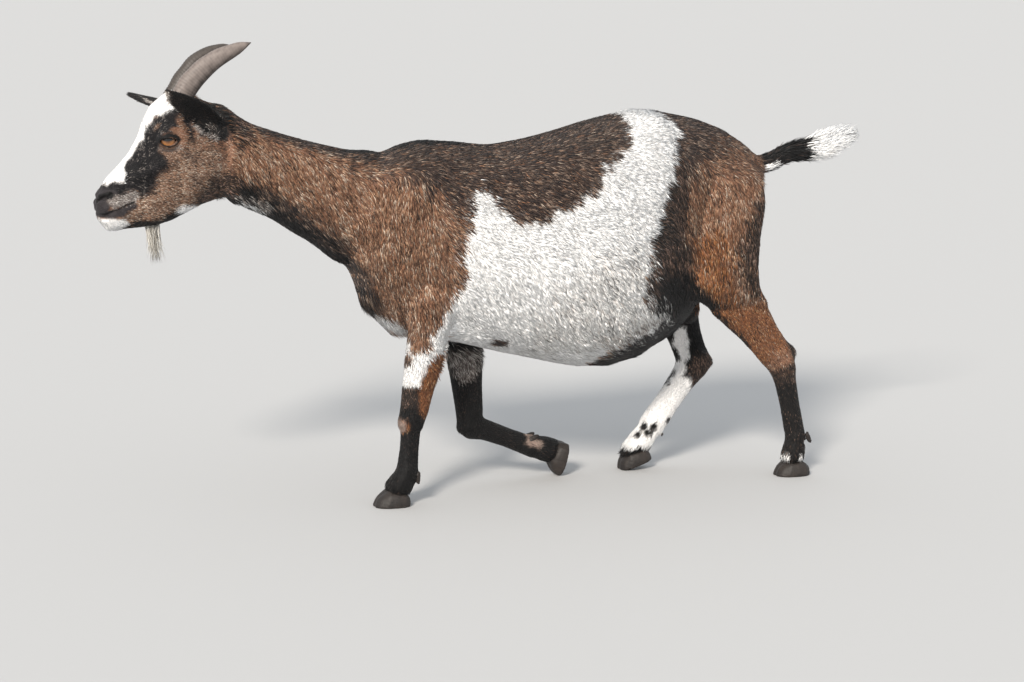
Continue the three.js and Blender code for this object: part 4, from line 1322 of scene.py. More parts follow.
@dataclass
class Coat:
    """The coat: thin overlapping tufts that follow the lie of the hair over the skin."""

    skin: bpy.types.Object
    under: Skin
    markings: Markings
    spacing: dict[str, float] = field(
        default_factory=lambda: {  # millimetres between the roots of neighbouring tufts
            "trunk": 2.0, "neck": 1.9, "head": 1.5, "ear": 1.5, "foreleg_left": 1.75, "foreleg_right": 1.75,
            "hindleg_left": 1.9, "hindleg_right": 1.9, "tail": 1.7,
        }
    )
    gap: float = 0.4  # millimetres that a tuft keeps over the skin
    most: float = 9  # millimetres that it stands off at most for that
    tail_end: float = 0.655  # the tail's hair grows shorter towards here, so that it ends in a point
    trunk_split: float = 320  # where the trunk's coat is parted into front and rear pieces

    def field_of(self, points: np.ndarray) -> tuple[np.ndarray, np.ndarray, np.ndarray]:
        """Work out which lay each point belongs to, and how the hair grows there.

        Args:
            points: Places on the skin.

        Returns:
            The index of the nearest lay, the direction of the hair and its length in metres.
        """
        flow = np.zeros((len(points), 3))
        length = np.zeros(len(points))
        total = np.full(len(points), 1e-9)
        best = np.full(len(points), FAR)
        nearest = np.zeros(len(points), int)
        for index, lay in enumerate(LAYS):
            for side in (-1, 1) if lay.side is Side.BOTH else (lay.side.value,):
                start, end = site(*mirror(lay.start, side)), site(*mirror(lay.end, side))
                way = unit(np.array(lay.flow) if lay.flow else end - start)
                reach = from_segment(points, start, end) / (lay.reach * MM)
                weight = 1 / (0.05 + reach**2) ** 3
                flow += weight[:, None] * way
                length += weight * lay.length * MM
                total += weight
                closer = reach < best
                best[closer] = reach[closer]
                nearest[closer] = index
        return nearest, flow / total[:, None], length / total

    def grow(self) -> dict[str, Growth]:
        """Plant every tuft on the skin.

        Returns:
            The tufts by stretch of coat.
        """
        mesh = self.skin.data
        mesh.calc_loop_triangles()
        count = len(mesh.loop_triangles)
        corners = np.empty(count * 3, np.int64)
        mesh.loop_triangles.foreach_get("vertices", corners)
        corners = corners.reshape(-1, 3)
        points = np.empty(len(mesh.vertices) * 3)
        mesh.vertices.foreach_get("co", points)
        points = points.reshape(-1, 3)
        normals = np.empty(len(mesh.vertices) * 3)
        mesh.vertex_normals.foreach_get("vector", normals)
        normals = normals.reshape(-1, 3)
        edge = points[corners]
        area = np.linalg.norm(np.cross(edge[:, 1] - edge[:, 0], edge[:, 2] - edge[:, 0]), axis=1) / 2
        nearest, _, _ = self.field_of(edge.mean(axis=1))
        pieces = np.array([lay.piece for lay in LAYS])[nearest]
        draw = np.random.default_rng(SEED)
        thin = 1.0
        result = {}
        for piece, spacing in self.spacing.items():
            mine = np.flatnonzero(pieces == piece)
            if not len(mine):
                LOG.warning("no skin for %s", piece)
                continue
            wanted = int(area[mine].sum() / (spacing * MM) ** 2 / thin)
            ladder = np.cumsum(area[mine])
            rungs = (np.arange(wanted) + draw.random(wanted)) / wanted * ladder[-1]
            chosen = mine[np.minimum(np.searchsorted(ladder, rungs), len(mine) - 1)]
            share = draw.random((wanted, 2))
            share[share.sum(axis=1) > 1] = 1 - share[share.sum(axis=1) > 1]
            share = np.column_stack([1 - share.sum(axis=1), share])
            roots = np.einsum("nk,nkd->nd", share, points[corners[chosen]])
            out = unit(np.einsum("nk,nkd->nd", share, normals[corners[chosen]]))
            result[piece] = self.comb(piece, roots, out, draw)
        return result

    def stand(self, roots: np.ndarray, flow: np.ndarray, length: np.ndarray) -> np.ndarray:
        """Work out how far each tuft has to stand off so that it stays over the skin of a hollow.

        Args:
            roots: Where the tufts grow.
            flow: Their directions.
            length: Their lengths in metres.

        Returns:
            The least lift of each tip, in metres.
        """
        need = np.zeros(len(roots))
        for share, gain in ((0.38, 0.62), (0.7, 0.91), (1.0, 1.0)):
            over = self.under.over(roots + flow * (length * share)[:, None])
            need = np.maximum(need, (self.gap * MM - over) / gain)
        return np.minimum(need, self.most * MM)

    def comb(self, piece: str, roots: np.ndarray, out: np.ndarray, draw: np.random.Generator) -> Growth:
        """Give the tufts of one stretch their lie, size and colour.

        Args:
            piece: The stretch of coat.
            roots: Where the tufts grow.
            out: The skin's normals there.
            draw: The source of random numbers.

        Returns:
            The tufts.
        """
        count = len(roots)
        _, flow, length = self.field_of(roots)
        flow = flow + 0.16 * np.column_stack([ripple(roots, 0.05, s) for s in (1, 2, 3)])
        flow = flow + draw.normal(0, 0.10, (count, 3))
        flow = unit(flow - out * np.sum(flow * out, axis=1, keepdims=True))
        length = length * draw.uniform(0.7, 1.2, count)
        width = np.clip(length * 0.06, 0.00065, 0.0011) * draw.uniform(0.7, 1.3, count)
        lift = np.clip(length * 0.13, 0.0005, 0.0024) * draw.uniform(0.4, 1.1, count)
        clear = np.full(count, FAR)
        for eye in Skin.eyes:
            clear = np.minimum(clear, np.linalg.norm(roots - eye.basis()[0], axis=1) / MM - eye.radius - 1.7)
        folded = np.column_stack([roots[:, 0], np.abs(roots[:, 1]), roots[:, 2]])
        for path, reach in BARE if piece == "head" else ():
            for a, b in zip(path, path[1:]):
                clear = np.minimum(clear, from_segment(folded, site(*a), site(*b)) / MM - reach)
        length = length * (0.4 + 0.6 * eased(clear, 0, 11))
        if piece == "tail":
            lift = lift * 3.6 * (0.5 + 0.5 * eased(roots[:, 0], 0.5, 0.56))
            width = width * 1.3
            length = length * (0.4 + 0.6 * eased(roots[:, 0], 0.48, 0.55))
            length = np.minimum(length, np.maximum(self.tail_end - roots[:, 0], 0) + 0.012)
        lift = np.maximum(lift, self.stand(roots, flow, length))
        colour = self.markings.locks(roots, draw)
        start, end, tile = CHARTS[piece]
        base = roots.copy()
        base[:, 1] = np.abs(base[:, 1])
        side = np.sign(roots[:, 1] + 1e-9)
        a, b = site(*start), site(*end)
        axis = unit(b - a)
        up = unit(np.array([0.0, 0.0, 1.0]) - axis * axis[2] + np.array([1e-6, 0, 0]))
        off = (base if piece == "ear" or "leg" in piece else roots) - a
        angle = np.arctan2(off @ np.cross(axis, up), off @ up) / (2 * math.pi) + 0.5
        run = np.clip(off @ axis / np.linalg.norm(b - a), 0, 1)
        if piece == "ear":
            run = run * 0.49 + 0.51 * (side > 0)
        if piece == "trunk":
            run = (run * 2) % 1
            angle = np.abs(angle * 2 - 1)
        bake = np.column_stack([tile[0] + (tile[2] - tile[0]) * run, tile[1] + (tile[3] - tile[1]) * angle])
        tufts = Growth(roots, out, flow, length, width, lift, colour, np.clip(bake, 0.002, 0.998))
        return tufts.part(np.flatnonzero(clear > 0))

    def build(self) -> list[bpy.types.Object]:
        """Draw the coat's pieces.

        Returns:
            Their objects.
        """
        stretches = self.grow()
        pieces = []
        for name, tufts in stretches.items():
            parts = {f"coat_{name}": np.arange(len(tufts.roots))}
            if name == "trunk":
                rear, right = tufts.roots[:, 0] > self.trunk_split * MM + FOREFOOT_X, tufts.roots[:, 1] > 0
                parts = {
                    "coat_trunk_front_left": np.flatnonzero(~rear & ~right),
                    "coat_trunk_rear_left": np.flatnonzero(rear & ~right),
                    "coat_trunk_front_right": np.flatnonzero(~rear & right),
                    "coat_trunk_rear_right": np.flatnonzero(rear & right),
                }
            for label, chosen in parts.items():
                rings = 3 if name == "tail" else 1
                piece = placed(label, tufts.part(chosen).mesh(label, rings))
                LOG.info("%s: %d tufts, %d triangles", label, len(chosen), len(piece.data.polygons))
                pieces.append(piece)
        return pieces


def node_into(
    tree: bpy.types.NodeTree, kind: str, settings: dict | None = None, inputs: dict | None = None
) -> bpy.types.Node:
    """Add one node with its settings and its links.

    Args:
        tree: The tree.
        kind: The node's type.
        settings: Properties by name.
        inputs: Values or output sockets, by the input's name or number.

    Returns:
        The node.
    """
    node = tree.nodes.new(kind)
    for name, value in (settings or {}).items():
        setattr(node, name, value)
    for name, value in (inputs or {}).items():
        if isinstance(value, bpy.types.NodeSocket):
            tree.links.new(value, node.inputs[name])
        else:
            node.inputs[name].default_value = value
    return node


def blank(name: str) -> tuple[bpy.types.Material, bpy.types.NodeTree]:
    """Make a material with an empty node tree.

    Args:
        name: What the material is.

    Returns:
        The material and its tree.
    """
    made = bpy.data.materials.new(name)
    made.use_nodes = True
    made.node_tree.nodes.clear()
    return made, made.node_tree


@dataclass(frozen=True)
class Pelt:
    """Hair, the hide under it or ringed horn: a fine grain and a faint sheen over a mesh's own colours."""

    name: str
    layer: str
    roughness: float
    sheen: float
    grain: float  # millimetres between strands in the bump
    relief: float  # millimetres

    def material(self) -> bpy.types.Material:
        """Make the material."""
        made, tree = blank(self.name)
        place = node_into(tree, "ShaderNodeTexCoord").outputs["Object"]
        colour = node_into(tree, "ShaderNodeVertexColor", {"layer_name": self.layer}).outputs["Color"]
        mottle = node_into(
            tree, "ShaderNodeTexNoise", inputs={"Vector": place, "Scale": 140.0, "Detail": 3.0}
        )
        shade = node_into(
            tree, "ShaderNodeMapRange", inputs={"Value": mottle.outputs["Fac"], "To Min": 0.8, "To Max": 1.18}
        )
        tinted = node_into(
            tree, "ShaderNodeMix", {"data_type": "RGBA", "blend_type": "MULTIPLY"},
            {"Factor": 1.0, 6: colour, 7: shade.outputs["Result"]},
        )
        strands = node_into(
            tree, "ShaderNodeTexNoise", inputs={"Vector": place, "Scale": 1000 / self.grain, "Detail": 2.0}
        )
        bump = node_into(
            tree, "ShaderNodeBump",
            inputs={"Height": strands.outputs["Fac"], "Distance": self.relief * MM, "Strength": 0.6},
        )
        shader = node_into(
            tree, "ShaderNodeBsdfPrincipled",
            inputs={
                "Base Color": tinted.outputs[2], "Roughness": self.roughness, "Specular IOR Level": 0.3,
                "Sheen Weight": self.sheen, "Sheen Roughness": 0.4, "Normal": bump.outputs["Normal"],
            },
        )
        node_into(tree, "ShaderNodeOutputMaterial", inputs={"Surface": shader.outputs["BSDF"]})
        return made


@dataclass(frozen=True)
class Keratin:
    """Hoof: hard, dull keratin with fine streaks and broad darker clouds."""

    name: str
    pale: str
    dark: str
    streak: float  # millimetres between streaks
    roughness: float

    def material(self) -> bpy.types.Material:
        """Make the material."""
        made, tree = blank(self.name)
        place = node_into(tree, "ShaderNodeTexCoord").outputs["Object"]
        fine = node_into(
            tree, "ShaderNodeTexNoise", inputs={"Vector": place, "Scale": 1000 / self.streak, "Detail": 4.0}
        ).outputs["Fac"]
        broad = node_into(
            tree, "ShaderNodeTexNoise", inputs={"Vector": place, "Scale": 45.0, "Detail": 2.0}
        ).outputs["Fac"]
        blend = node_into(
            tree, "ShaderNodeMath", {"operation": "MULTIPLY_ADD"}, {0: fine, 1: 0.6, 2: -0.05}
        ).outputs[0]
        total = node_into(
            tree, "ShaderNodeMath", {"operation": "MULTIPLY_ADD"}, {0: broad, 1: 0.5, 2: blend}
        ).outputs[0]
        ramp = node_into(tree, "ShaderNodeValToRGB", inputs={"Fac": total})
        ramp.color_ramp.elements[0].position, ramp.color_ramp.elements[0].color = 0.3, rgba(self.dark)
        ramp.color_ramp.elements[1].position, ramp.color_ramp.elements[1].color = 0.62, rgba(self.pale)
        bump = node_into(tree, "ShaderNodeBump", inputs={"Height": fine, "Distance": 0.0004, "Strength": 0.7})
        shader = node_into(
            tree, "ShaderNodeBsdfPrincipled",
            inputs={
                "Base Color": ramp.outputs["Color"], "Roughness": self.roughness,
                "Normal": bump.outputs["Normal"], "Specular IOR Level": 0.45,
            },
        )
        node_into(tree, "ShaderNodeOutputMaterial", inputs={"Surface": shader.outputs["BSDF"]})
        return made


@dataclass
class Horn:
    """One horn: a tapering sweep with growth rings, with painted shade along its rear edge and dark at the
    tip.
    """

    side: int
    line: tuple[tuple[float, float], ...]  # side view, root to tip, in the drawing's millimetres
    root_off: float = 24
    tip_off: float = 35
    depth: float = 36
    width: float = 26
    squareness: float = 2.2
    rings: int = 170
    around: int = 40
    ring_pitch: float = 4.6  # millimetres between growth rings
    ring_height: float = 0.42
    pale: str = "#7e746f"
    dark: str = "#26211f"

    def axis(self, share: np.ndarray) -> np.ndarray:
        """Give the horn's middle line in side view at shares of its length."""
        knots = np.array(self.line, float)
        knots = np.vstack([2 * knots[0] - knots[1], knots, 2 * knots[-1] - knots[-2]])
        place = np.clip(share, 0, 1) * (len(self.line) - 1)
        base = np.minimum(place.astype(int), len(self.line) - 2)
        t = (place - base)[:, None]
        a, b, c, d = (knots[base + k] for k in range(4))
        return 0.5 * (
            2 * b + (c - a) * t + (2 * a - 5 * b + 4 * c - d) * t**2 + (3 * b - a - 3 * c + d) * t**3
        )

    def build(self) -> bpy.types.Object:
        """Draw the horn.

        Returns:
            Its object.
        """
        share = np.linspace(0, 1, self.rings) ** 0.96
        middle = self.axis(share)
        way = unit(np.gradient(middle, axis=0))
        run = np.concatenate([[0], np.cumsum(np.linalg.norm(np.diff(middle, axis=0), axis=1))])
        taper = 0.97 * np.maximum(1 - share**2.6, 0) ** 1.05 + 0.03
        turn = np.linspace(0, 2 * math.pi, self.around, endpoint=False)
        power = 2 / self.squareness
        over = np.sign(np.sin(turn)) * np.abs(np.sin(turn)) ** power
        across = np.sign(np.cos(turn)) * np.abs(np.cos(turn)) ** power
        wave = np.sin(2 * math.pi * run / self.ring_pitch + 0.9 * np.sin(run / 9)) ** 3
        swell = (wave * self.ring_height + 0.5 * np.sin(run / 5.2)) * (1 - share) ** 0.6
        reach = 1 + swell[:, None] * (0.5 + 0.5 * over[None]) / (self.depth / 2)
        tall = self.depth / 2 * taper[:, None] * over[None] * reach
        wide = self.width / 2 * taper[:, None] * across[None] * reach
        keel = 0.06 * self.width * taper[:, None] * np.maximum(over, 0)[None] ** 3
        x = middle[:, :1] - way[:, 1:] * tall
        z = middle[:, 1:] + way[:, :1] * tall
        off = (self.root_off + (self.tip_off - self.root_off) * share)[:, None]
        y = self.side * off + wide * (1 - keel / self.width)
        points = np.stack([x * MM + FOREFOOT_X, y * MM, z * MM], axis=-1).reshape(-1, 3)
        ends = np.array([points[: self.around].mean(axis=0), points[-self.around :].mean(axis=0)])
        count, n = len(points), self.around
        faces = [
            (r * n + k, r * n + (k + 1) % n, (r + 1) * n + (k + 1) % n, (r + 1) * n + k)
            for r in range(self.rings - 1)
            for k in range(n)
        ]
        faces += [(count, (k + 1) % n, k) for k in range(n)]
        faces += [(count + 1, count - n + k, count - n + (k + 1) % n) for k in range(n)]
        points = np.vstack([points, ends])
        mesh = turned_out("horn", points, faces)
        # painted shade: the horn darkens along its rear edge, its shadow side
        rear = np.clip(0.5 - 0.9 * over, 0, 1)[None] * np.ones((self.rings, 1))
        groove = (0.5 - 0.5 * wave)[:, None] * (1 - share[:, None])
        mix = 0.55 * rear**2 + 0.3 * groove + 0.55 * eased(share, 0.86, 1)[:, None]
        mix = np.clip(mix + 0.16 * ripple(points[:-2], 0.006, 3).reshape(mix.shape), 0, 1).reshape(-1, 1)
        colour = linear(self.pale) * (1 - mix) + linear(self.dark) * mix
        paint(mesh, "keratin", np.vstack([colour, colour[:1], colour[-1:]]))
        return placed(f"horn_{'left' if self.side < 0 else 'right'}_ringed", mesh)


@dataclass
class Foot:
    """One foot's two claws and two dewclaws, with rounded edges and growth lines."""

    leg: str
    voxel: float = 0.001
    line_pitch: float = 4.2  # millimetres between growth lines
    line_depth: float = 0.28

    def nodes(self) -> list[str]:
        """List the nodes that the foot replaces."""
        return [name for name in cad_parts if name.startswith(self.leg) and "claw" in name]

    def build(self) -> bpy.types.Object:
        """Draw the foot's horn.

        Returns:
            Its object.
        """
        boxes = [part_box(name) for name in self.nodes()]
        low = np.min([np.array(box[0]) for box in boxes], axis=0) - 0.006
        high = np.max([np.array(box[1]) for box in boxes], axis=0) + 0.006
        claws = [name for name in self.nodes() if "dewclaw" not in name]
        dewclaws = [name for name in self.nodes() if "dewclaw" in name]
        grid = Field.of_nodes(claws, low, high, self.voxel, 6, 0.0002)
        nubs = Field.of_nodes(dewclaws, low, high, self.voxel, 6, 0.0002)
        grid.values = np.minimum(grid.blurred(2.0 * MM) - 0.5 * MM, nubs.blurred(3.2 * MM) - 2.6 * MM)
        x, y, z = grid.axes()
        rise = z + 0.35 * x
        lines = np.sin(2 * math.pi * rise / (self.line_pitch * MM)) + 0.6 * np.sin(rise / 0.0011 + 40 * y)
        grid.values = (grid.values + self.line_depth * MM * lines * 0.5).astype(np.float32)
        grid.values = np.maximum(grid.values, 0.0 - z).astype(np.float32)  # nothing goes through the floor
        points, faces = grid.surface(0.03)
        mesh = bpy.data.meshes.new("foot")
        mesh.from_pydata(points.tolist(), [], faces)
        mesh.shade_smooth()
        return placed(f"{self.leg}_hoof_horn", mesh)


@dataclass
class EyePiece:
    """An eyeball with an amber iris and a level bar of a pupil."""

    eye: Eyeball
    rings: int = 44
    around: int = 64

    def build(self) -> bpy.types.Object:
        """Draw the eyeball.

        Returns:
            Its object.
        """
        middle, along, up, out = self.eye.basis()
        polar = np.linspace(0, math.pi, self.rings + 2)[1:-1]
        turn = np.linspace(0, 2 * math.pi, self.around, endpoint=False)
        local = np.stack(
            [np.outer(np.sin(polar), np.cos(turn)), np.outer(np.sin(polar), np.sin(turn)),
             np.outer(np.cos(polar), np.ones_like(turn))], axis=-1,
        ).reshape(-1, 3)
        local = np.vstack([local, [(0, 0, 1), (0, 0, -1)]])
        bulge = 1 + 0.035 * eased(local[:, 2], 0.62, 1.0)
        points = middle + (local * bulge[:, None] @ np.stack([along, up, out])) * self.eye.radius * MM
        n, last = self.around, len(points)
        faces = [
            (r * n + k, (r + 1) * n + k, (r + 1) * n + (k + 1) % n, r * n + (k + 1) % n)
            for r in range(self.rings - 1)
            for k in range(n)
        ]
        faces += [(last - 2, k, (k + 1) % n) for k in range(n)]
        faces += [(last - 1, last - 2 - n + (k + 1) % n, last - 2 - n + k) for k in range(n)]
        mesh = turned_out("eye", points, faces)
        look = mesh.attributes.new("look", "FLOAT_VECTOR", "POINT")
        look.data.foreach_set("vector", local.astype(np.float32).ravel())
        return placed(f"eyeball_{'left' if self.eye.side < 0 else 'right'}", mesh)


@dataclass(frozen=True)
class Cornea:
    """A goat's eye: wet and glassy over an amber, fibrous iris with a dark bar of a pupil, the iris's upper
    part darkened as painted shadow of the upper lid.
    """

    iris: float = 0.80  # the iris's radius over the eyeball's
    pupil_long: float = 0.50
    pupil_tall: float = 0.17
    pupil_up: float = 0.16  # how far the bar lies above the middle

    def material(self) -> bpy.types.Material:
        """Make the material."""
        made, tree = blank("wet eye with amber iris")
        look = node_into(tree, "ShaderNodeAttribute", {"attribute_name": "look"}).outputs["Vector"]
        parts = node_into(tree, "ShaderNodeSeparateXYZ", inputs={"Vector": look})
        flat = node_into(
            tree, "ShaderNodeCombineXYZ", inputs={"X": parts.outputs["X"], "Y": parts.outputs["Y"]}
        )
        radius = node_into(
            tree, "ShaderNodeVectorMath", {"operation": "LENGTH"}, {0: flat.outputs[0]}
        ).outputs["Value"]
        fibres = node_into(
            tree, "ShaderNodeTexNoise",
            inputs={"Vector": look, "Scale": 16.0, "Detail": 5.0, "Distortion": 0.6},
        ).outputs["Fac"]
        tone = node_into(
            tree, "ShaderNodeMath", {"operation": "MULTIPLY_ADD"}, {0: fibres, 1: 0.5, 2: radius}
        ).outputs[0]
        iris = node_into(tree, "ShaderNodeValToRGB", inputs={"Fac": tone})
        ramp = iris.color_ramp
        ramp.elements[0].position, ramp.elements[0].color = 0.35, rgba("#5d3719")
        ramp.elements[1].position, ramp.elements[1].color = 0.75, rgba("#a36c38")
        edge = ramp.elements.new(self.iris + 0.2)
        edge.color = rgba("#5d3515")
        rim = ramp.elements.new(self.iris + 0.27)
        rim.color = rgba("#140d0a")
        stretched = node_into(
            tree, "ShaderNodeMapping", {"vector_type": "TEXTURE"},
            {
                "Vector": flat.outputs[0], "Location": (0, self.pupil_up, 0),
                "Scale": (self.pupil_long, self.pupil_tall, 1.0),
            },
        ).outputs[0]
        apart = node_into(tree, "ShaderNodeSeparateXYZ", inputs={"Vector": stretched})
        powers = []
        for axis in ("X", "Y"):
            size = node_into(tree, "ShaderNodeMath", {"operation": "ABSOLUTE"}, {0: apart.outputs[axis]})
            cube = node_into(tree, "ShaderNodeMath", {"operation": "POWER"}, {0: size.outputs[0], 1: 3.0})
            powers.append(cube.outputs[0])
        total = node_into(
            tree, "ShaderNodeMath", {"operation": "ADD"}, {0: powers[0], 1: powers[1]}
        ).outputs[0]
        pupil = node_into(
            tree, "ShaderNodeMapRange", inputs={"Value": total, "From Min": 0.85, "From Max": 1.25}
        ).outputs["Result"]
        # painted shadow of the upper lid: the iris darkens towards its top
        painted_lid_shadow = node_into(
            tree, "ShaderNodeMapRange",
            inputs={
                "Value": parts.outputs["Y"], "From Min": -0.35, "From Max": 0.3,
                "To Min": 1.0, "To Max": 0.12,
            },
        ).outputs["Result"]
        shaded = node_into(
            tree, "ShaderNodeMix", {"data_type": "RGBA", "blend_type": "MULTIPLY"},
            {"Factor": 1.0, 6: iris.outputs["Color"], 7: painted_lid_shadow},
        ).outputs[2]
        colour = node_into(
            tree, "ShaderNodeMix", {"data_type": "RGBA"}, {"Factor": pupil, 6: rgba("#050404"), 7: shaded}
        )
        shader = node_into(
            tree, "ShaderNodeBsdfPrincipled",
            inputs={
                "Base Color": colour.outputs[2], "Roughness": 0.22, "IOR": 1.38, "Coat Weight": 1.0,
                "Coat Roughness": 0.02, "Coat IOR": 1.45,
            },
        )
        node_into(tree, "ShaderNodeOutputMaterial", inputs={"Surface": shader.outputs["BSDF"]})
        return made


@dataclass
class Bristles:
    """Stiff single hairs, such as lashes and whiskers, set by a geometry tree on rooted points."""

    name: str
    thickness: float  # millimetres
    material: bpy.types.Material

    def tree(self) -> bpy.types.NodeTree:
        """Make the tree that sets a slender cone on each point, aimed and sized by the points' own values."""
        group = bpy.data.node_groups.new(f"{self.name} bristles", "GeometryNodeTree")
        group.interface.new_socket("Geometry", in_out="INPUT", socket_type="NodeSocketGeometry")
        group.interface.new_socket("Thickness", in_out="INPUT", socket_type="NodeSocketFloat")
        group.interface.new_socket("Material", in_out="INPUT", socket_type="NodeSocketMaterial")
        group.interface.new_socket("Geometry", in_out="OUTPUT", socket_type="NodeSocketGeometry")
        inside = node_into(group, "NodeGroupInput")
        cone = node_into(
            group, "GeometryNodeMeshCone",
            inputs={
                "Vertices": 5, "Side Segments": 3, "Depth": 1.0, "Radius Top": 0.0,
                "Radius Bottom": inside.outputs[1],
            },
        ).outputs["Mesh"]
        aim = node_into(
            group, "GeometryNodeInputNamedAttribute", {"data_type": "FLOAT_VECTOR"}, {"Name": "aim"}
        )
        reach = node_into(group, "GeometryNodeInputNamedAttribute", {"data_type": "FLOAT"}, {"Name": "reach"})
        turned = node_into(
            group, "FunctionNodeAlignRotationToVector", {"axis": "Z"}, {"Vector": aim.outputs["Attribute"]}
        ).outputs["Rotation"]
        size = node_into(
            group, "ShaderNodeCombineXYZ", inputs={"X": 1.0, "Y": 1.0, "Z": reach.outputs["Attribute"]}
        )
        spread = node_into(
            group, "GeometryNodeInstanceOnPoints",
            inputs={
                "Points": inside.outputs[0], "Instance": cone, "Rotation": turned, "Scale": size.outputs[0],
            },
        ).outputs["Instances"]
        real = node_into(
            group, "GeometryNodeRealizeInstances", inputs={"Geometry": spread}
        ).outputs["Geometry"]
        dressed = node_into(
            group, "GeometryNodeSetMaterial", inputs={"Geometry": real, "Material": inside.outputs[2]}
        ).outputs["Geometry"]
        node_into(group, "NodeGroupOutput", inputs={0: dressed})
        return group

    def build(self, roots: np.ndarray, aims: np.ndarray, lengths: np.ndarray) -> bpy.types.Object:
        """Set one bristle on each root.

        Args:
            roots: Where they grow, in metres.
            aims: The way each points.
            lengths: How long each is, in metres.

        Returns:
            The bristles as one plain mesh.
        """
        mesh = bpy.data.meshes.new(self.name)
        mesh.from_pydata(roots.tolist(), [], [])
        aim = mesh.attributes.new("aim", "FLOAT_VECTOR", "POINT")
        aim.data.foreach_set("vector", unit(aims).astype(np.float32).ravel())
        reach = mesh.attributes.new("reach", "FLOAT", "POINT")
        reach.data.foreach_set("value", lengths.astype(np.float32))
        seeds = placed(f"{self.name}_seeds", mesh)
        group = self.tree()
        modifier = seeds.modifiers.new("set", "NODES")
        modifier.node_group = group
        items = [item for item in group.interface.items_tree if item.in_out == "INPUT"]
        sockets = {item.name: item.identifier for item in items}
        modifier[sockets["Thickness"]] = self.thickness * MM / 2
        modifier[sockets["Material"]] = self.material
        graph = bpy.context.evaluated_depsgraph_get()
        result = bpy.data.meshes.new_from_object(seeds.evaluated_get(graph))
        bpy.data.objects.remove(seeds)
        paint(result, "hair", np.tile(linear("#171110"), (len(result.vertices), 1)))
        return placed(self.name, result)


@dataclass
class Beard:
    """The thin beard that hangs behind the chin."""

    front: float = -394
    rear: float = -366
    chin: float = 482
    tip: Point = (-372, 0, 408)
    strands: int = 240

    def build(self) -> bpy.types.Object:
        """Draw the beard's long locks.

        Returns:
            Its object.
        """
        draw = np.random.default_rng(SEED + 9)
        share = draw.random(self.strands)
        span = self.rear - self.front
        roots = np.array([
            site(self.front + span * s, draw.normal(0, 4.2), self.chin + draw.uniform(-2, 3)) for s in share
        ])
        ends = site(*self.tip) + draw.normal(0, 1, (self.strands, 3)) * np.array([0.004, 0.0035, 0.002])
        ends[:, 2] += 0.045 * draw.random(self.strands) ** 1.6
        flow = ends - roots
        length = np.linalg.norm(flow, axis=1)
        flow = flow / length[:, None]
        out = unit(np.cross(flow, draw.normal(size=(self.strands, 3))))
        shades = np.array([linear(c) for c in ("#b9b4aa", "#dad6ce", "#efece6", "#98938b")])
        colour = shades[draw.integers(0, len(shades), self.strands)]
        bake = np.column_stack([0.1 + 0.8 * share, 0.1 + 0.8 * draw.random(self.strands)])
        tufts = Growth(roots, out, flow, length, draw.uniform(0.0007, 0.0013, self.strands),
                       draw.uniform(0.0005, 0.003, self.strands), colour, bake)
        return placed("beard_locks", tufts.mesh("beard_locks", 5))


@dataclass
class Studio:
    """The camera, the pale floor and the soft lights."""

    camera_at: Point = (-1.690, -4.687, 1.10)
    ahead: Point = (0.340, 0.925, -0.168)
    lens: float = 106.98
    floor_half: float = 60.0
    sun: float = 4.2
    sun_from: Point = (-0.55, -0.75, 0.55)
    daylight: float = 1.0

    def build(self) -> None:
        """Set up the stage."""
        scene = bpy.context.scene
        scene.view_settings.view_transform = "Standard"
        camera = bpy.data.objects.new("camera", bpy.data.cameras.new("camera"))
        camera.data.lens = self.lens
        camera.data.sensor_width = 36
        camera.data.clip_end = 60
        ahead = Vector(self.ahead).normalized()
        right = ahead.cross(Vector((0, 0, 1))).normalized()
        up = right.cross(ahead)
        turned = Matrix((right, up, -ahead)).transposed().to_4x4()
        camera.matrix_world = Matrix.Translation(self.camera_at) @ turned
        scene.collection.objects.link(camera)
        scene.camera = camera
        self.floor()
        sun = bpy.data.lights.new("soft sun", "SUN")
        sun.energy = self.sun
        sun.angle = math.radians(12)
        sun.color = rgba("#fff7ec")[:3]
        held = bpy.data.objects.new("soft sun", sun)
        held.rotation_euler = Vector(self.sun_from).to_track_quat("Z", "Y").to_euler()
        scene.collection.objects.link(held)
        world = bpy.data.worlds.new("studio")
        world.use_nodes = True
        world.node_tree.nodes["Background"].inputs["Color"].default_value = rgba("#e4e8ec")
        world.node_tree.nodes["Background"].inputs["Strength"].default_value = self.daylight
        scene.world = world

    def floor(self) -> None:
        """Lay the plain pale floor."""
        half = self.floor_half
        mesh = bpy.data.meshes.new("floor")
        corners = [(-half, -half, 0), (half, -half, 0), (half, half, 0), (-half, half, 0)]
        mesh.from_pydata(corners, [], [(0, 1, 2, 3)])
        # an even pale ground that takes a soft shadow
        made = bpy.data.materials.new("pale studio floor")
        made.use_nodes = True
        shader = made.node_tree.nodes["Principled BSDF"]
        shader.inputs["Base Color"].default_value = rgba("#bababa")
        shader.inputs["Roughness"].default_value = 0.8
        mesh.materials.append(made)
        placed("floor", mesh)


LEFT_HORN = Horn(-1, ((-341, 660), (-317, 698), (-283, 729), (-243, 749), (-221, 758)))
# the far horn's colours are darker copies of the near horn's: painted shade
RIGHT_HORN = Horn(
    1, ((-338, 660), (-314, 698), (-288, 727), (-254, 743), (-231, 748)), pale="#4d4743", dark="#171514"
)
LEGS = ("foreleg_left", "foreleg_right", "hindleg_left", "hindleg_right")


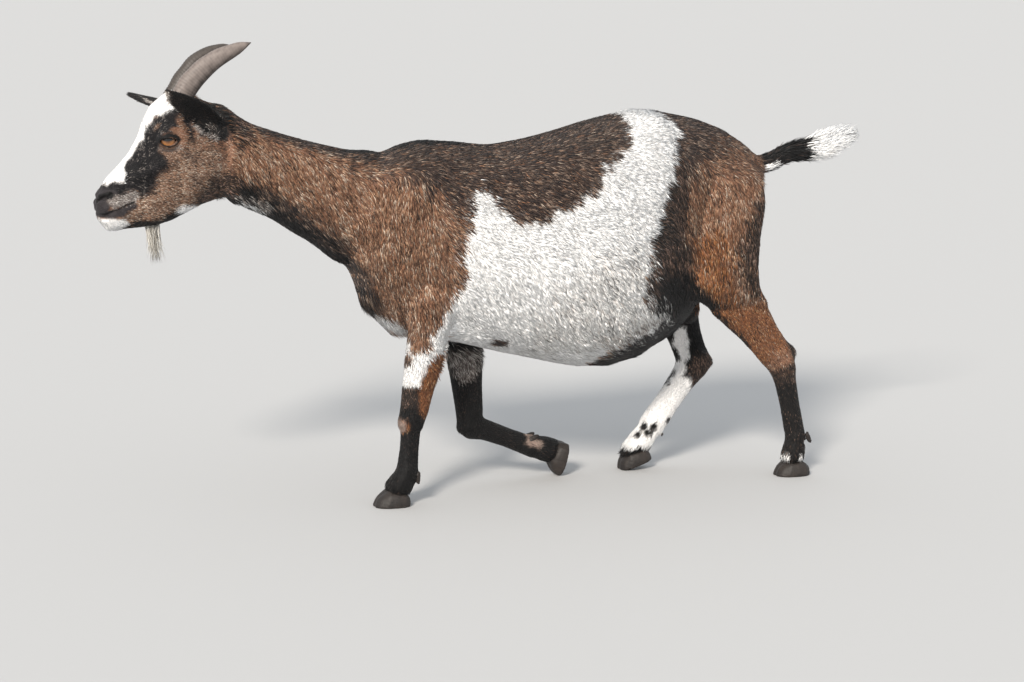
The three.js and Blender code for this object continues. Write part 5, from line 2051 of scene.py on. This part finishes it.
def dress_hard_parts(skin: Skin) -> None:
    """Build the horns, hooves, eyes and beard.

    Args:
        skin: The skin, which knows the eyes.
    """
    # grey horn whose rings catch the light, with painted shade along its rear edge and a dark tip
    horn = Pelt("horn keratin with growth rings", "keratin", 0.48, 0.0, 0.9, 0.35).material()
    for piece, node in ((LEFT_HORN.build(), "horn_left"), (RIGHT_HORN.build(), "horn_right")):
        piece.data.materials.append(horn)
        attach(piece, "root")
        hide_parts(node)
    # dull, nearly black hoof with faint streaks
    hoof = Keratin("dark hoof keratin", "#342d29", "#0c0a0a", 1.4, 0.6).material()
    for leg in LEGS:
        foot = Foot(leg)
        piece = foot.build()
        piece.data.materials.append(hoof)
        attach(piece, "root")
        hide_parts(*foot.nodes())
        LOG.info("%s: %d faces", piece.name, len(piece.data.polygons))
    # a wet, bright highlight over amber with a dark level bar, and painted shadow of the upper lid over the
    # amber's top
    cornea = Cornea().material()
    for eye, node in zip(skin.eyes, ("eye_left", "eye_right")):
        piece = EyePiece(eye).build()
        piece.data.materials.append(cornea)
        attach(piece, "root")
        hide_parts(node)
    beard = Beard().build()
    # pale, slightly shining strands
    beard.data.materials.append(Pelt("beard hair", "hair", 0.5, 0.2, 0.8, 0.1).material())
    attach(beard, "root")
    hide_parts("beard")


def lashes_and_whiskers(skin: Skin) -> None:
    """Set the lashes of both eyes and the whiskers of the lips.

    Args:
        skin: The skin, which knows the eyes.
    """
    draw = np.random.default_rng(SEED + 4)
    roots, aims, lengths = [], [], []
    for eye in skin.eyes:
        middle, along, up, out = eye.basis()
        for place in np.linspace(-0.9, 0.9, 52):
            x = place * eye.opening
            rise = eye.upper * (1 - place**2) + 0.6
            deep = math.sqrt(max((eye.radius + eye.lid * 0.8) ** 2 - x * x - rise * rise, 4))
            roots.append(middle + (along * x + up * rise + out * deep) * MM)
            lean = up * draw.uniform(-0.35, 0.15)
            aims.append(out + lean + along * (0.5 * place + draw.normal(0, 0.12)))
            lengths.append(draw.uniform(0.005, 0.009))
    # thin dark lines at the lids and the lips
    hair = Pelt("dark bristle", "hair", 0.4, 0.0, 0.8, 0.0).material()
    lashes = Bristles("lashes", 0.5, hair).build(np.array(roots), np.array(aims), np.array(lengths))
    roots, aims, lengths = [], [], []
    for side in (-1, 1):
        for _ in range(16):
            x, z = draw.uniform(-458, -428), draw.uniform(476, 506)
            roots.append(site(x, side * 25, z))
            aims.append(np.array([draw.uniform(-0.3, 0.5), side * 0.8, draw.uniform(-0.7, 0.1)]))
            lengths.append(draw.uniform(0.012, 0.022))
    whiskers = Bristles("whiskers", 0.5, hair).build(np.array(roots), np.array(aims), np.array(lengths))
    for piece in (lashes, whiskers):
        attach(piece, "root")


def main() -> None:
    """Build the goat piece by piece and report each."""
    logging.basicConfig(level=logging.INFO, format="%(message)s")
    Studio().build()
    markings = Markings()
    skin = Skin(markings=markings)
    hide = skin.build()
    # matt hide in the markings' colours, which shows between the tufts and on the bare nose
    hide.data.materials.append(Pelt("hide under short hair", "hide", 0.7, 0.05, 1.1, 0.5).material())
    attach(hide, "root")
    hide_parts(*skin.nodes())
    LOG.info("skin: %d faces", len(hide.data.polygons))
    # soft hair with a low sheen, each tuft in one shade of its marking, darkened towards its root as painted
    # shade among the tufts
    pelt = Pelt("goat hair", "hair", 0.55, 0.06, 0.8, 0.15).material()
    for piece in Coat(hide, skin, markings).build():
        piece.data.materials.append(pelt)
        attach(piece, "root")
    dress_hard_parts(skin)
    lashes_and_whiskers(skin)


if __name__ == "__main__":
    main()
